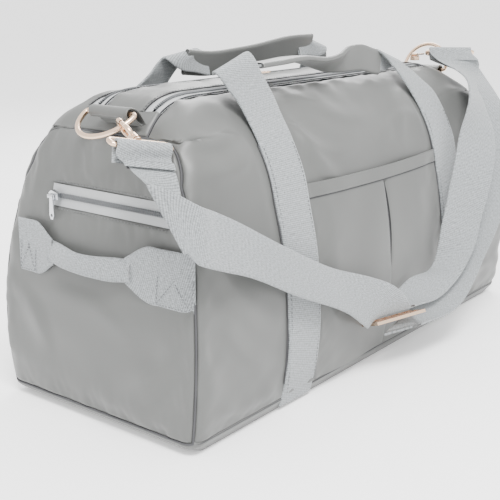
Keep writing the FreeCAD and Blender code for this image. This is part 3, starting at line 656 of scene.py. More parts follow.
def used_only(points, faces, uv):
    """Drop points that no face uses."""
    keep = np.unique(np.array([i for face in faces for i in face]))
    renumber = np.full(len(points), -1)
    renumber[keep] = np.arange(len(keep))
    return points[keep], [tuple(renumber[list(face)]) for face in faces], np.asarray(uv)[keep]


def settle(piece, node_names, slot_name, body):
    """Finish a piece: hide the nodes it stands for, give it its finish, and hang it on what it moves with."""
    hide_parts(*node_names)
    finish(piece, slot_name)
    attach(piece, body)


def trim(name, mesh, slot_name, body="bag"):
    """A finished extra that stands for no node: thread, a strap's turn round an eye, a dark strip of painted
    shade.
    """
    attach(finish(build_mesh(name, *mesh), slot_name), body)


# ---- end panels -----------------------------------------------------------------------------
SIDE_COLUMNS, ZIP_COLUMNS = 26, 70


def end_guess(side, heights, zip_reach):
    """Points near one end panel: columns keep straight along the ends of its zip."""
    grid = []
    for z in heights:
        half = min(float(end_half(z)), float(depth_at(z)))
        y1, y2 = -min(-zip_reach[0], 0.86 * half), min(zip_reach[1], 0.76 * half)
        near = edge_spaced(2 * SIDE_COLUMNS, 2 * (half + y1))[:SIDE_COLUMNS]
        first = -half + near / near[-1] * (half + y1)
        middle = np.linspace(y1, y2, ZIP_COLUMNS)[1:-1]
        near = 1 - edge_spaced(2 * SIDE_COLUMNS, 2 * (half - y2))[-SIDE_COLUMNS:]
        last = y2 + (1 - near / near[0]) * (half - y2)
        y = np.concatenate([first, middle, last])
        grid.append(np.column_stack([np.full(len(y), side * length_at(z)), y, np.full(len(y), z)]))
    return np.array(grid)


# the same for the ends: across counts to the back on the left end and to the front on the right
END_FOLDS = [
    ((-84, 92), (-30, 34), 10, 1.8), ((-80, 62), (-10, 22), 9, 1.4), ((84, 90), (40, 40), 11, 1.7),
    ((50, 88), (-40, 70), 8, 1.0), ((-60, 190), (-52, 165), 5, 1.2), ((20, 194), (12, 166), 5, 1.0),
    ((60, 182), (66, 140), 6, 1.3), ((-86, 30), (-20, 16), 7, 1.1),
]


def end_relief(side):
    """The relief of one end: folds, small gathers under the top seam, flat under the patches."""
    def relief(p):
        lazy = 1.0 * waves(p * [1, 1, 0.7], 90, 21 + side) + 0.4 * waves(p * [1, 0.6, 1.3], 40, 25 + side)
        under_seam = smoothstep(END_TOP_Z - 34, END_TOP_Z - 4, p[:, 2])
        gathers = 0.8 * waves(p * [0, 1, 0.12], 15, 27 + side) * under_seam
        y = p[:, 1] * -side
        full = 1.0 + lazy + gathers + sum(fold(y, p[:, 2], *each) for each in END_FOLDS)
        patch = bump(p[:, 2], GRAB_Z, WEBBING_WIDTH / 2 + 9) if side < 0 else 0 * y
        return full * (1 - np.clip(1.6 * patch, 0, 1))

    return relief


def make_end(label, side, zip_z, zip_reach):
    """One end panel in a lower and an upper part, with the opening for its zip between them."""
    low, high = zip_z - TAPE_HALF, zip_z + TAPE_HALF

    def spaced(a, b, count):
        return a + (b - a) * edge_spaced(count, abs(b - a))

    heights = np.concatenate([
        spaced(WRAP_Z, low, 60 if side < 0 else 22), np.linspace(low, high, 9)[1:-1],
        spaced(high, END_TOP_Z, 40 if side < 0 else 80)])
    guess = end_guess(side, heights, zip_reach)
    rows, columns = guess.shape[:2]
    p, out = onto_body(guess.reshape(-1, 3))
    gaps = [gap.ravel() for gap in seam_distance(p.reshape(rows, columns, 3))]
    y, z = guess[..., 1].ravel(), guess[..., 2].ravel()
    dy = np.maximum(np.maximum(zip_reach[0] - y, y - zip_reach[1]), 0)
    dz = np.maximum(np.maximum(low - z, z - high), 0)
    nearest = np.minimum(np.minimum.reduce(gaps), np.hypot(dy, dz))
    height = above_lining(end_relief(side)(p)) * smoothstep(0, SEAM_CALM, nearest)
    height += seam_roll(nearest) + pucker(p, nearest, 0.3)
    p = p + out * height[:, None]
    foot, head = np.searchsorted(heights, low + 0.01) - 1, np.searchsorted(heights, high - 0.01)
    first, last = SIDE_COLUMNS - 1, SIDE_COLUMNS + ZIP_COLUMNS - 2
    lower, upper = [], []
    for face in grid_faces(rows, columns):
        row, column = divmod(face[0], columns)
        if foot <= row < head and first <= column < last:
            continue
        (upper if row >= head else lower).append(face if side > 0 else face[::-1])
    for part, faces in (("lower", lower), ("upper", upper)):
        piece = build_mesh("%s_end_%s_cloth" % (label, part), *used_only(p, faces, np.column_stack([y, z])))
        settle(piece, ["%s_end_%s" % (label, part)], "nylon", "bag")


# ---- stitching ---------------------------------------------------------------------------------
def stitch_row(line, out, pitch=3.0, length=2.1, thick=0.26):
    """Small thread stitches along a line that lies on cloth, with the cloth's outward direction."""
    at = walked(line)
    middles = np.arange(pitch / 2, at[-1] - pitch / 4, pitch)
    heads, tails = (read_at(middles + end * length / 2, at, line) for end in (-1, 1))
    normals = unit(read_at(middles, at, out))
    sink, rise, spokes = 0.1, 0.08, 5
    ring = [(math.cos(t), math.sin(t)) for t in np.arange(spokes) * 2 * math.pi / spokes]
    points, faces = [], []
    for head, tail, normal in zip(heads, tails, normals):
        along = unit(tail - head)
        side = unit(np.cross(normal, along))
        start = len(points)
        points.append(head - normal * sink)
        for share in (0.25, 0.75):
            middle = head + (tail - head) * share + normal * rise
            points += [middle + side * c * thick + normal * d * thick for c, d in ring]
        points.append(tail - normal * sink)
        end = start + 2 * spokes + 1
        for k in range(spokes):
            a, b = start + 1 + k, start + 1 + (k + 1) % spokes
            faces += [(start, b, a), (a, b, b + spokes, a + spokes), (a + spokes, b + spokes, end)]
    return np.array(points), faces, np.zeros((len(points), 2))


def stitched_on_body(places, stand, **sizes):
    """A row of stitches through places near the shell, standing off it by stand."""
    line = along_line(lowered(places), np.linspace(0, 1, 80))
    p, out = onto_body(line)
    return stitch_row(p + out * stand, out, **sizes)


# ---- zips ------------------------------------------------------------------------------------
def tape_grid(corner, along, across, count):
    """A flat strip of tape laid on the shell, a little below the panels beside it."""
    shares_along, shares_across = np.linspace(0, 1, count), np.linspace(0, 1, 6)
    grid = np.array([[corner + along * a + across * b for a in shares_along] for b in shares_across])
    p, out = onto_body(lowered(grid).reshape(-1, 3))
    p = p + out * (-0.9 + 0.12 * waves(p, 14, 31))[:, None]
    length, width = np.linalg.norm(along), np.linalg.norm(across)
    uv = np.array([[a * length, b * width] for b in shares_across for a in shares_along])
    faces = grid_faces(len(shares_across), len(shares_along))
    a, b, _, d = (p[i] for i in faces[0])
    return p, flipped(faces) if np.cross(b - a, d - a) @ out[0] < 0 else faces, uv


def bead_shape(rings=5, spokes=8):
    """A small rounded tooth: rings of a squashed ball."""
    points = []
    for ring in range(rings):
        polar = math.pi * (ring + 0.5) / rings
        wide, level = math.sin(polar), math.cos(polar)
        for spoke in range(spokes):
            turn = 2 * math.pi * spoke / spokes
            points.append((wide * math.cos(turn), level, wide * math.sin(turn)))
    first, last = tuple(range(spokes)), tuple(range((rings - 1) * spokes, rings * spokes))
    return np.array(points), grid_faces(rings, spokes, loop=True) + [first[::-1], last]


def coil_teeth(start, end, pitch=1.5, reach=1.15):
    """Two interlocked rows of coil along a line on the shell."""
    length = np.linalg.norm(end - start)
    count = int(length / pitch)
    shares = (np.arange(count) + 0.5) / count
    line = start + (end - start) * shares[:, None]
    p, out = onto_body(lowered(line))
    along = unit(end - start)
    across = unit(np.cross(out, along))
    shape, shape_faces = bead_shape()
    points, faces, uv = [], [], []
    for row, side in enumerate((-1, 1)):
        for k in range(count):
            centre = p[k] + across[k] * side * 0.72 + along * (row * 0.5 * pitch) - out[k] * 0.35
            size = shape * [0.6, reach, 0.75]
            place = centre + size[:, :1] * along + size[:, 1:2] * across[k] + size[:, 2:] * out[k]
            faces += [tuple(i + len(points) * len(shape) for i in face) for face in shape_faces]
            points.append(place)
            uv.append(np.column_stack([np.full(len(shape), shares[k] * length), size[:, 1]]))
    return np.vstack(points), faces, np.vstack(uv)


def make_zip(label, middle, along_reach, along, across):
    """Two tapes laid on the shell, and the coil between them."""
    along, across = np.array(along, float), np.array(across, float)
    low, high = along_reach
    start, end = middle + along * low, middle + along * high
    gap, under_seam, coil_short = 1.3, 0.7, 1.5
    tapes = []
    for side in (-1, 1):
        corner = start + across * side * gap
        reach = across * side * (TAPE_HALF - gap + under_seam)
        tapes.append(tape_grid(corner, end - start, reach, int((high - low) / 3.5)))
    settle(build_mesh(label + "_zip_tape_cloth", *join(tapes)), [label + "_zip_tapes"], "zip_tape", "bag")
    coil = coil_teeth(start + along * coil_short, end - along * coil_short)
    settle(build_mesh(label + "_zip_teeth", *coil), [label + "_zip_coil"], "zip_coil", "bag")


# ---- top strip and base ------------------------------------------------------------------------
def make_top_strip():
    """The strip between the zips and, past their ends, its two wide tails down to the end seams."""
    def relief(p):
        return 0.9 * waves(p, 60, 41) + 0.4 * waves(p, 26, 42)

    half = ZIP_END
    xs = -half + 2 * half * edge_spaced(140, 2 * half)
    ys = -STRIP_HALF + 2 * STRIP_HALF * edge_spaced(24, 2 * STRIP_HALF)
    parts = [cloth_panel(np.array([[(x, y, TOP) for x in xs] for y in ys]), relief, (0, 0, 1, 1))]
    crown = LONG[::-1][:150]
    edge_z = np.interp(half, crown[:, 0], crown[:, 1])
    slope = LONG[(LONG[:, 1] > END_TOP_Z) & (LONG[:, 0] > half)]
    end_line = np.vstack([[length_at(END_TOP_Z), END_TOP_Z], slope, [half, edge_z]])
    ys = -SEAM_Y + 2 * SEAM_Y * edge_spaced(30, 2 * SEAM_Y)
    for side in (-1, 1):
        line = np.column_stack([side * end_line[:, 0], np.zeros(len(end_line)), end_line[:, 1]])
        line = along_line(line, edge_spaced(30, 45))
        guess = np.array([[(x, y, z) for y in ys] for x, _, z in line])
        p, faces, uv = cloth_panel(guess, relief, (1, 1, 1, 0))
        parts.append((p, flipped(faces) if side < 0 else faces, uv))
    settle(build_mesh("top_cloth", *join(parts)), ["top_strip"], "nylon", "bag")


def make_base():
    """The bottom panel: rings from its seam on the walls, under the rolled edge, to the middle."""
    edge = [(a * HALF_LENGTH, b * HALF_DEPTH, 0) for a, b in BASE_CORNERS]
    turn = along_line(edge, np.linspace(0, 1, 361))[:-1]
    rings = []
    for z, pull in ((WRAP_Z + 0.8, 1.3), (WRAP_Z, 0.3), (WRAP_Z - 1.2, 0), (6, 0), (4, 0), (2.4, 0), (1, 0)):
        guess = turn.copy()
        guess[:, 0] *= length_at(z) / HALF_LENGTH if z >= WRAP_Z else 1
        guess[:, 2] = z
        p, out = onto_body(guess * [0.985, 0.985, 1] if z < 5 else guess)
        p[:, 2] = np.clip(p[:, 2], 0.2, None)
        rings.append(p - out * pull)
    last = rings[-1]
    for share in (0.96, 0.9, 0.8, 0.6, 0.4, 0.2, 0.05):
        ring = last * [share, share, 1]
        ring[:, 2] = 0.25
        rings.append(ring)
    points, count = np.vstack(rings), len(turn)
    faces = grid_faces(len(rings), count, loop=True)
    faces.append(tuple(range((len(rings) - 1) * count, len(rings) * count))[::-1])
    settle(build_mesh("base_cloth", points, faces, points[:, :2]), ["bottom_panel"], "nylon", "bag")


# ---- webbing ---------------------------------------------------------------------------------
def smooth_stations(stations, step=2.5):
    """Stations (middle, across, out, wide) joined by a smooth curve and spaced evenly along it.

    wide is the share of the full width there: more than one where the webbing lies along a fold."""
    middle = np.array([s[0] for s in stations], dtype=float)
    across = unit(np.array([s[1] for s in stations], dtype=float))
    out = unit(np.array([s[2] for s in stations], dtype=float))
    wide = np.array([[s[3] if len(s) > 3 else 1.0] for s in stations], dtype=float)
    chords = np.linalg.norm(np.diff(middle, axis=0), axis=1)
    at = np.concatenate([[0], np.cumsum(np.maximum(chords, 0.5) ** 0.75)])
    dense = np.linspace(0, at[-1], max(len(stations) * 24, 60))

    def curve(values):
        slope = np.gradient(values, at, axis=0)
        k = np.clip(np.searchsorted(at, dense, side="right") - 1, 0, len(at) - 2)
        h = (at[k + 1] - at[k])[:, None]
        t = ((dense - at[k]) / h[:, 0])[:, None]
        a, b, ma, mb = values[k], values[k + 1], slope[k] * h, slope[k + 1] * h
        return ((2 * t ** 3 - 3 * t ** 2 + 1) * a + (t ** 3 - 2 * t ** 2 + t) * ma
                + (-2 * t ** 3 + 3 * t ** 2) * b + (t ** 3 - t ** 2) * mb)

    line = np.hstack([curve(middle), curve(across), curve(out), curve(wide)])
    walk = walked(line[:, :3])
    where = np.linspace(0, walk[-1], max(int(walk[-1] / step), 8))
    even = read_at(where, walk, line)
    return even[:, :3], unit(even[:, 3:6]), unit(even[:, 6:9]), even[:, 9], where


def ribbon(stations, width, thickness, step=2.5, cup=None, ripple=0.25, seed=5):
    """Flat webbing with rounded selvedges along smooth stations; cup(share) adds height across it."""
    middle, across, out, wide, along = smooth_stations(stations, step)
    out = unit(out - across * np.sum(out * across, axis=1)[:, None])
    half, thick = width / 2, thickness / 2
    flat, bend = np.linspace(-1, 1, 13) * (half - thick), (0.8, 1.57, 2.34)
    section = [(a, thick) for a in flat]
    section += [(half - thick + thick * math.sin(t), thick * math.cos(t)) for t in bend]
    section += [(a, -thick) for a in flat[::-1]]
    section += [(-half + thick - thick * math.sin(t), -thick * math.cos(t)) for t in bend]
    section = np.array(section)
    rows, columns = len(middle), len(section)
    share = np.broadcast_to(section[:, 0] / half, (rows, columns))
    s = np.broadcast_to(along[:, None], (rows, columns))
    lift = waves(np.column_stack([s.ravel(), share.ravel() * half * 0.4, np.zeros(s.size)]), 42, seed)
    lift = ripple * lift.reshape(s.shape) + (cup(share) if cup else 0)
    points = (middle[:, None, :] + (across * wide[:, None])[:, None, :] * section[None, :, 0, None]
              + out[:, None, :] * (section[None, :, 1, None] + lift[..., None])).reshape(-1, 3)
    faces = grid_faces(rows, columns, loop=True)
    faces += [tuple(range(columns)), tuple(range((rows - 1) * columns, rows * columns))[::-1]]
    uv = np.column_stack([s.ravel(), np.broadcast_to(section[:, 0], s.shape).ravel()])
    a, b, c = (points[i] for i in faces[3][:3])
    return points, flipped(faces) if np.cross(b - a, c - a) @ out[0] < 0 else faces, uv


def standing_off(place, stand):
    """The nearest place on the shell, standing off it, and its outward direction."""
    p, out = onto_body(np.array([place], dtype=float))
    return p[0] + out[0] * stand, out[0]


def on_wall(x, z, sign, stand):
    """A place on the front or back at a height, standing off the cloth, and its outward direction."""
    return standing_off((x, sign * depth_at(z), z), stand)


def leg_stations(x, sign, low, high, count, stand):
    """Stations of webbing that lies up a wall."""
    spots = [on_wall(x, z, sign, stand) for z in np.linspace(low, high, count)]
    return [(p, (1, 0, 0), out) for p, out in spots]


HINGE_Z = TOP - 30.0

# each leg from its hinge up to the grip: middle, across, out and, where it is folded, its width
HANDLE_FOLDS = {
    "front_left": [
        ((-113, -61, 203), (1, 0, 0), (0, -1, 0.5)),
        ((-117, -56, 217), (1, 0, 0.06), (0, -1, 0.6)),
        ((-124, -52, 229), (1, 0, 0.18), (0, -1, 0.5)),
        ((-130, -48.5, 239.5), (0.96, 0, 0.29), (0, -1, 0.5)),
        ((-130.5, -45.5, 241.5), (0.96, 0, 0.29), (-0.2, 0.1, 1)),
        ((-129, -42.5, 239.5), (0.96, 0.05, 0.29), (0, 1, -0.2)),
        ((-119, -41, 236), (0.75, -0.5, 0.2), (0.1, 0.5, -1), 0.6),
        ((-102, -42, 236.5), (0.1, -1, 0.1), (0, 0.1, -1), 0.5),
        ((-84, -42, 237.5), (0, -1, 0.1), (0, 0, -1), 0.45),
    ],
    "front_right": [
        ((110, -61, 202), (1, 0, 0), (0, -1, 0.5)),
        ((101, -55, 214), (1, 0, -0.15), (0, -1, 0.7)),
        ((91, -49.5, 225), (0.96, 0, -0.25), (0.1, -1, 0.7)),
        ((81, -46.5, 232), (0.95, 0, -0.3), (0.1, -1, 0.6)),
        ((78.5, -43.5, 234.5), (0.95, 0, -0.3), (0, 0.1, 1)),
        ((76, -41, 232.5), (0.93, 0, -0.35), (0, 1, 0.2)),
        ((62, -42, 231), (0.5, 0, -0.8), (0, 1, 0.1), 0.55),
        ((46, -44, 232), (0.1, 0, -1), (0, 1, 0), 0.5),
    ],
    "back_left": [
        ((-111, 61, 204), (1, 0, 0), (0, 1, 0.5)),
        ((-104, 55, 218), (1, 0, 0.1), (0, 1, 0.7)),
        ((-93, 50, 230), (0.97, 0, 0.2), (0, 1, 0.7)),
        ((-84, 46, 239), (0.97, 0, 0.12), (0, 1, 0.6)),
        ((-82.5, 43.5, 241), (0.97, 0, 0.12), (0, 0.1, 1)),
        ((-80, 41, 238.5), (0.97, 0, 0.12), (0, -1, 0.2)),
        ((-68, 41.5, 234), (0.6, 0.1, 0.8), (0, -1, 0.1), 0.5),
        ((-52, 43, 231.5), (0, 0.25, 1), (0, -1, 0.25), 0.5),
    ],
    "back_right": [
        ((112, 61, 204), (1, 0, 0), (0, 1, 0.5)),
        ((110, 55, 218), (1, 0, 0), (0, 1, 0.7)),
        ((106, 49, 230), (0.97, 0, -0.15), (0, 1, 0.7)),
        ((100, 45, 239), (0.95, 0, -0.3), (0, 1, 0.6)),
        ((97, 42.5, 241.5), (0.95, 0, -0.3), (0, 0.1, 1)),
        ((94, 40.5, 239), (0.95, 0, -0.35), (0, -1, 0.2)),
        ((84, 41, 238.5), (0.4, -0.1, -0.9), (0, -1, 0), 0.5),
        ((68, 42, 239), (0, -0.3, -1), (0, -1, 0.3), 0.5),
    ],
}

# each grip from left to right: middle, across, out
GRIP_LINES = {
    "front": [
        ((-104, -42.5, 236.5), (0, -1, 0.1), (0, 0.1, 1)),
        ((-80, -42, 238), (0, -1, 0.08), (0, 0.1, 1)),
        ((-50, -41.5, 238.5), (0, -1, 0.12), (0, 0.1, 1)),
        ((-22, -41, 235.5), (0, -1, 0.3), (0, 0.3, 1)),
        ((0, -41.5, 233.5), (0, -0.75, 0.75), (0, 0.75, 0.75)),
        ((18, -43, 235), (0, -0.15, 1), (0, 1, 0.15)),
        ((36, -44, 235), (0.1, 0.05, 1), (0, 1, 0)),
        ((52, -44, 231.5), (0.25, 0.1, 1), (0, 1, 0)),
        ((66, -43, 229), (0.4, 0.1, 0.9), (0, 1, 0)),
    ],
    "back": [
        ((-78, 43, 234), (0, -0.3, 0.95), (0, 0.95, 0.3)),
        ((-50, 43, 231.5), (0, -0.3, 0.95), (0, 0.95, 0.3)),
        ((-15, 43, 233), (0, -0.35, 0.94), (0, 0.95, 0.3)),
        ((25, 42, 237), (0, -0.35, 0.94), (0, 0.95, 0.3)),
        ((60, 41.5, 239.5), (0, -0.3, 0.95), (0, 0.95, 0.3)),
        ((88, 42, 239), (0, -0.2, 1), (0, 1, 0.2)),
    ],
}


def make_carry_handle(label, sign):
    """Each side of a carry handle: one length of webbing from the base, up and folded into the grip."""
    parts = []
    for side, place in ((-1, "_left"), (1, "_right")):
        line = leg_stations(side * LEG_X, sign, 4.0, HINGE_Z - 7, 9, 1.4) + HANDLE_FOLDS[label + place]
        parts.append(ribbon(line, WEBBING_WIDTH, WEBBING_THICKNESS, step=2.0, ripple=0.3, seed=60 + side))
    piece = build_mesh(label + "_handle_straps", *join(parts))
    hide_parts(label + "_handle_webbing", label + "_leg_left", label + "_leg_right")
    finish(piece, "webbing")
    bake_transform(piece)


def make_grip(label):
    """The wrapped middle of a carry handle: webbing folded in half inside a nylon sleeve."""
    def crown(share):
        return 0.5 * (1 - share ** 2)

    sleeve = ribbon(GRIP_LINES[label], 21.0, 4.0, step=2.0, cup=crown, ripple=0.35, seed=70)
    settle(build_mesh(label + "_grip_sleeve", *sleeve), [label + "_handle_grip"], "nylon", label + "_handle")


# ---- pocket -------------------------------------------------------------------------------------
POCKET_LOW, POCKET_HIGH = node_box("front_pocket_hems", "front_pocket_left", "front_pocket_right")
SPLIT_X = 4.0
HEM_LOW = POCKET_HIGH[2] - 10.0
PLEAT_FOOT = 78.0   # the pleat opens from here up, and is shut again under the hem


def pocket_layer(x0, x1, z0, z1, rows, stand, sewn_sides, slit=0):
    """A grid of pocket cloth: sewn_sides says which of its side edges are sewn flat.

    slit is -1 or 1 where its right or left edge is one side of the pleat."""
    heights = z0 + (z1 - z0) * np.linspace(0, 1, rows)
    shares = edge_spaced(60, abs(x1 - x0))
    guess = []
    for z in heights:
        up = np.clip((z - PLEAT_FOOT) / (HEM_LOW + 2 - PLEAT_FOOT), 0, 1)
        opening = 1.7 * np.sin(np.pi * up) ** 0.8 if slit else 0
        left, right = x0 + (opening if slit > 0 else 0), x1 - (opening if slit < 0 else 0)
        guess.append([(left + (right - left) * share, -depth_at(z), z) for share in shares])
    guess = np.array(guess)
    p, out = onto_body(guess.reshape(-1, 3))
    x, z = guess[..., 0].ravel(), guess[..., 2].ravel()
    bow = np.sin(np.pi * (x - POCKET_LOW[0]) / (POCKET_HIGH[0] - POCKET_LOW[0]))
    sewn = np.full(len(x), 50.0)
    for on, gap in zip(sewn_sides, (x - x0, x1 - x)):
        sewn = np.minimum(sewn, gap) if on else sewn
    sewn = np.abs(sewn)
    height = stand + 3.0 * bow * smoothstep(50, POCKET_HIGH[2], z)
    height += (1.5 + 0.7 * waves(p * [1, 1, 0.6], 60, 81)) * smoothstep(0, 22, sewn)
    height += seam_roll(sewn, 0.5) + pucker(p, sewn, 0.25)
    if slit:
        lip = np.abs(x1 - x if slit < 0 else x - x0)
        height -= 1.6 * np.exp(-lip / 1.2) * smoothstep(74, 90, z) + 0.5 * np.exp(-lip / 3)
    p = p + out * height[:, None]
    p[:, 2] -= 1.8 * bow * smoothstep(POCKET_HIGH[2] - 60, POCKET_HIGH[2], z)
    return p, grid_faces(rows, len(shares)), np.column_stack([x, z])


def make_pocket_halves():
    """The two halves of the pocket's cloth, to either side of the pleat."""
    for side, x0, x1, slit in (("left", POCKET_LOW[0], SPLIT_X, -1), ("right", SPLIT_X, POCKET_HIGH[0], 1)):
        cloth = pocket_layer(x0, x1, POCKET_LOW[2], HEM_LOW + 1.5, 80, 1.0, (slit < 0, slit > 0), slit)
        settle(build_mesh("front_pocket_%s_cloth" % side, *cloth), ["front_pocket_" + side], "nylon", "bag")


def make_pocket_hem():
    """The folded hem: two layers joined along the top and the foot."""
    rows, ends = 8, (POCKET_LOW[0], POCKET_HIGH[0])
    layers = [pocket_layer(*ends, HEM_LOW, POCKET_HIGH[2], rows, stand, (True, True)) for stand in (2.3, 0.7)]
    (outer, outer_faces, outer_uv), (inner, inner_faces, inner_uv) = layers
    under, columns = len(outer), len(outer) // rows
    faces = outer_faces + [tuple(i + under for i in face[::-1]) for face in inner_faces]
    for k in range(columns - 1):
        top = (rows - 1) * columns + k
        faces.append((top, top + 1, top + 1 + under, top + under))
        faces.append((k + 1, k, k + under, k + 1 + under))
    points, uv = np.vstack([outer, inner]), np.vstack([outer_uv, inner_uv])
    hem = build_mesh("front_pocket_hem_cloth", points, faces, uv)
    settle(hem, ["front_pocket_hems"], "nylon", "bag")
    # a dark strip just under the hem: painted shadow where the hem stands off the pocket
    seam = pocket_layer(*ends, HEM_LOW - 0.9, HEM_LOW + 0.5, 3, 1.45, (True, True))
    trim("pocket_hem_seam", seam, "board")


def make_pocket_pleat_shade():
    """The cloth seen through the pleat, in dark grey: painted shade in the opening."""
    behind = pocket_layer(SPLIT_X - 6, SPLIT_X + 6, 72, HEM_LOW + 1, 40, -0.5, (False, False))
    trim("pocket_pleat_backing", behind, "board")


# ---- grab handle on the left end ---------------------------------------------------------------
def end_spot(side, y, z, stand):
    """A place on an end at a height, standing off the cloth, and its outward direction."""
    return standing_off((side * length_at(z), y, z), stand)


# the sewn patches: distance back from where the grip starts, share of the width, stand off the cloth;
# the first two are measured from the patch's far edge
PATCH_SHAPE = [(26, 1.0, 1.5), (19, 1.0, 1.9), (12, 0.86, 2.8), (5, 0.62, 3.8), (0, 0.46, 4.2)]
# the slack grip: share of its length, stand off the cloth, sag, share of the width
GRIP_SHAPE = [
    (0, 4.6, 0, 0.95), (0.07, 5.2, 0.3, 1), (0.22, 7.6, 1.5, 1.05), (0.42, 9.4, 2.4, 0.95),
    (0.6, 9.6, 2.2, 0.9), (0.8, 7.2, 1.0, 1.0), (0.94, 4.9, 0.2, 1), (1, 4.4, 0, 0.95),
]


def make_grab_patches():
    """Two sewn patches whose webbing narrows towards the grip between them."""
    parts = []
    for far, near in ((PATCH_LOW[1], GRIP_LOW[1] + 2), (PATCH_HIGH[1], GRIP_HIGH[1] - 2)):
        length = abs(near - far)
        rows = []
        for back, wide, stand in [(length, 1.0, 1.3), (length - 8, 1.0, 1.4)] + PATCH_SHAPE:
            spot, out = end_spot(-1, near + (far - near) / length * back, GRAB_Z, stand)
            rows.append((spot, (0, 0, 1), out, wide))
        parts.append(ribbon(rows, WEBBING_WIDTH, WEBBING_THICKNESS, step=1.4, ripple=0.12))
    settle(build_mesh("grab_patch_webbing", *join(parts)), ["grab_patches"], "webbing", "bag")


def make_grab_grip():
    """The slack grip, rolled down at both edges."""
    def narrow(share):
        return -1.3 * share ** 2

    low, high = GRIP_LOW[1] - 3, GRIP_HIGH[1] + 3
    rows = []
    for share, stand, sag, wide in GRIP_SHAPE:
        spot, out = end_spot(-1, low + share * (high - low), GRAB_Z, stand)
        rows.append((spot - np.array([0, 0, sag]), (0.1, 0, 1), out, wide))
    grip = ribbon(rows, 15.5, 3.4, step=1.6, cup=narrow, ripple=0.35, seed=91)
    settle(build_mesh("grab_grip_webbing", *grip), ["grab_grip"], "webbing", "grab_handle")


# ---- shoulder strap -------------------------------------------------------------------------------
def eye_turn(bar, across, radius=3.0, steps=5):
    """Stations of the strap over a strap eye's bar, from its near side to its far side."""
    out = unit(np.cross([0, 0, 1], across))
    up = np.cross(across, out)
    rows = []
    for share in np.linspace(0, 1, steps):
        angle = math.radians(180 - 180 * share)
        normal = out * math.cos(angle) + up * math.sin(angle)
        rows.append((bar + normal * radius, across, normal))
    return rows


# The eyes' bars and the runs of the strap as it fell: middle, across, out and, on a fold, its width.
LEFT_BAR, LEFT_ACROSS = np.array([-227.2, -56.5, 198.1]), (0.946, -0.269, -0.181)
RIGHT_BAR, RIGHT_ACROSS = np.array([187.7, -46.0, 231.9]), (0.545, -0.838, 0.001)
LEFT_RUN = [
    ((-228, -62, 187.5), (0.86, -0.48, -0.16), (0.35, 0.85, -0.1), 0.8),
    ((-234, -74.5, 174), (0.45, -0.6, -0.6), (0.6, 0.7, -0.15), 0.95),
    ((-240.5, -87, 161), (0.02, -0.59, -0.81), (0.71, 0.67, -0.2), 1.2),
    ((-242.6, -87, 160.4), (0.02, -0.59, -0.81), (-0.67, 0.57, -0.43), 1.22),
    ((-242.2, -89, 161.4), (0.02, -0.59, -0.81), (-0.71, -0.67, 0.2), 1.2),
    ((-233, -104, 152.5), (0.02, -0.1, -0.99), (-0.5, -0.85, 0.1), 0.98),
    ((-212, -103.5, 143.5), (0.12, -0.08, -0.98), (-0.15, -1, 0)),
    ((-190, -104, 134), (0.22, -0.08, -0.97), (0, -1, 0)),
    ((-145, -107, 110), (0.3, 0, -0.95), (0, -1, 0)),
    ((-80, -109, 79), (0.3, 0, -0.95), (0, -1, 0)),
    ((-42, -111.5, 60.5), (-0.3, 0.2, -0.93), (-0.4, -0.9, 0)),
    ((-19, -113.3, 48.8), (-0.94, 0.32, -0.04), (0, -0.3, -1)),
]
INNER_RUN = [
    ((-12, -113, 47.8), (0.94, -0.32, 0.04), (0, 0.3, 1)),
    ((37, -112, 55), (0.76, -0.54, -0.35), (-0.5, -0.3, 0.8)),
    ((78, -114, 70), (0.83, -0.52, 0.17), (-0.5, -0.6, 0.6)),
    ((91, -114, 100), (0.85, -0.5, -0.1), (-0.5, -0.85, 0.2)),
    ((108, -113, 138), (0.75, -0.6, 0.1), (-0.6, -0.75, 0.2)),
    ((132, -104, 166), (0.9, -0.42, -0.05), (-0.5, -0.8, 0.3)),
    ((146, -96, 184), (0.99, -0.05, -0.1), (-0.2, -0.9, 0.4)),
    ((160, -86, 199), (0.97, 0.2, -0.1), (0, -0.9, 0.4)),
    ((174, -77, 209), (0.97, 0.15, -0.1), (0.1, -0.9, 0.4)),
    ((182, -67, 216), (0.95, -0.1, -0.1), (-0.1, -0.9, 0.5)),
]
OUTER_RUN = [
    ((-10, -118, 33.2), (0.94, -0.32, 0.04), (0, -0.3, -1)),
    ((48, -120, 41), (0.8, -0.5, -0.3), (0.3, 0.2, -0.9)),
    ((100, -117, 64), (0.85, -0.5, 0.1), (0.3, 0.6, -0.7), 0.95),
    ((140, -114, 100), (0.8, -0.5, -0.1), (0.4, 0.8, -0.4), 0.9),
    ((166, -108, 148), (0.8, -0.55, 0.0), (0.5, 0.8, -0.2), 0.85),
    ((184, -92, 186), (0.95, -0.25, -0.1), (0.3, 0.8, -0.3), 0.85),
    ((191, -72, 210), (0.97, -0.1, -0.1), (0.3, 0.8, -0.1), 0.85),
    ((190.5, -45.5, 224), (0.56, -0.83, 0.0), (0.84, 0.54, 0)),
]


def hang_left(piece):
    """Bake a piece of the strap's left end into place."""
    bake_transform(piece)


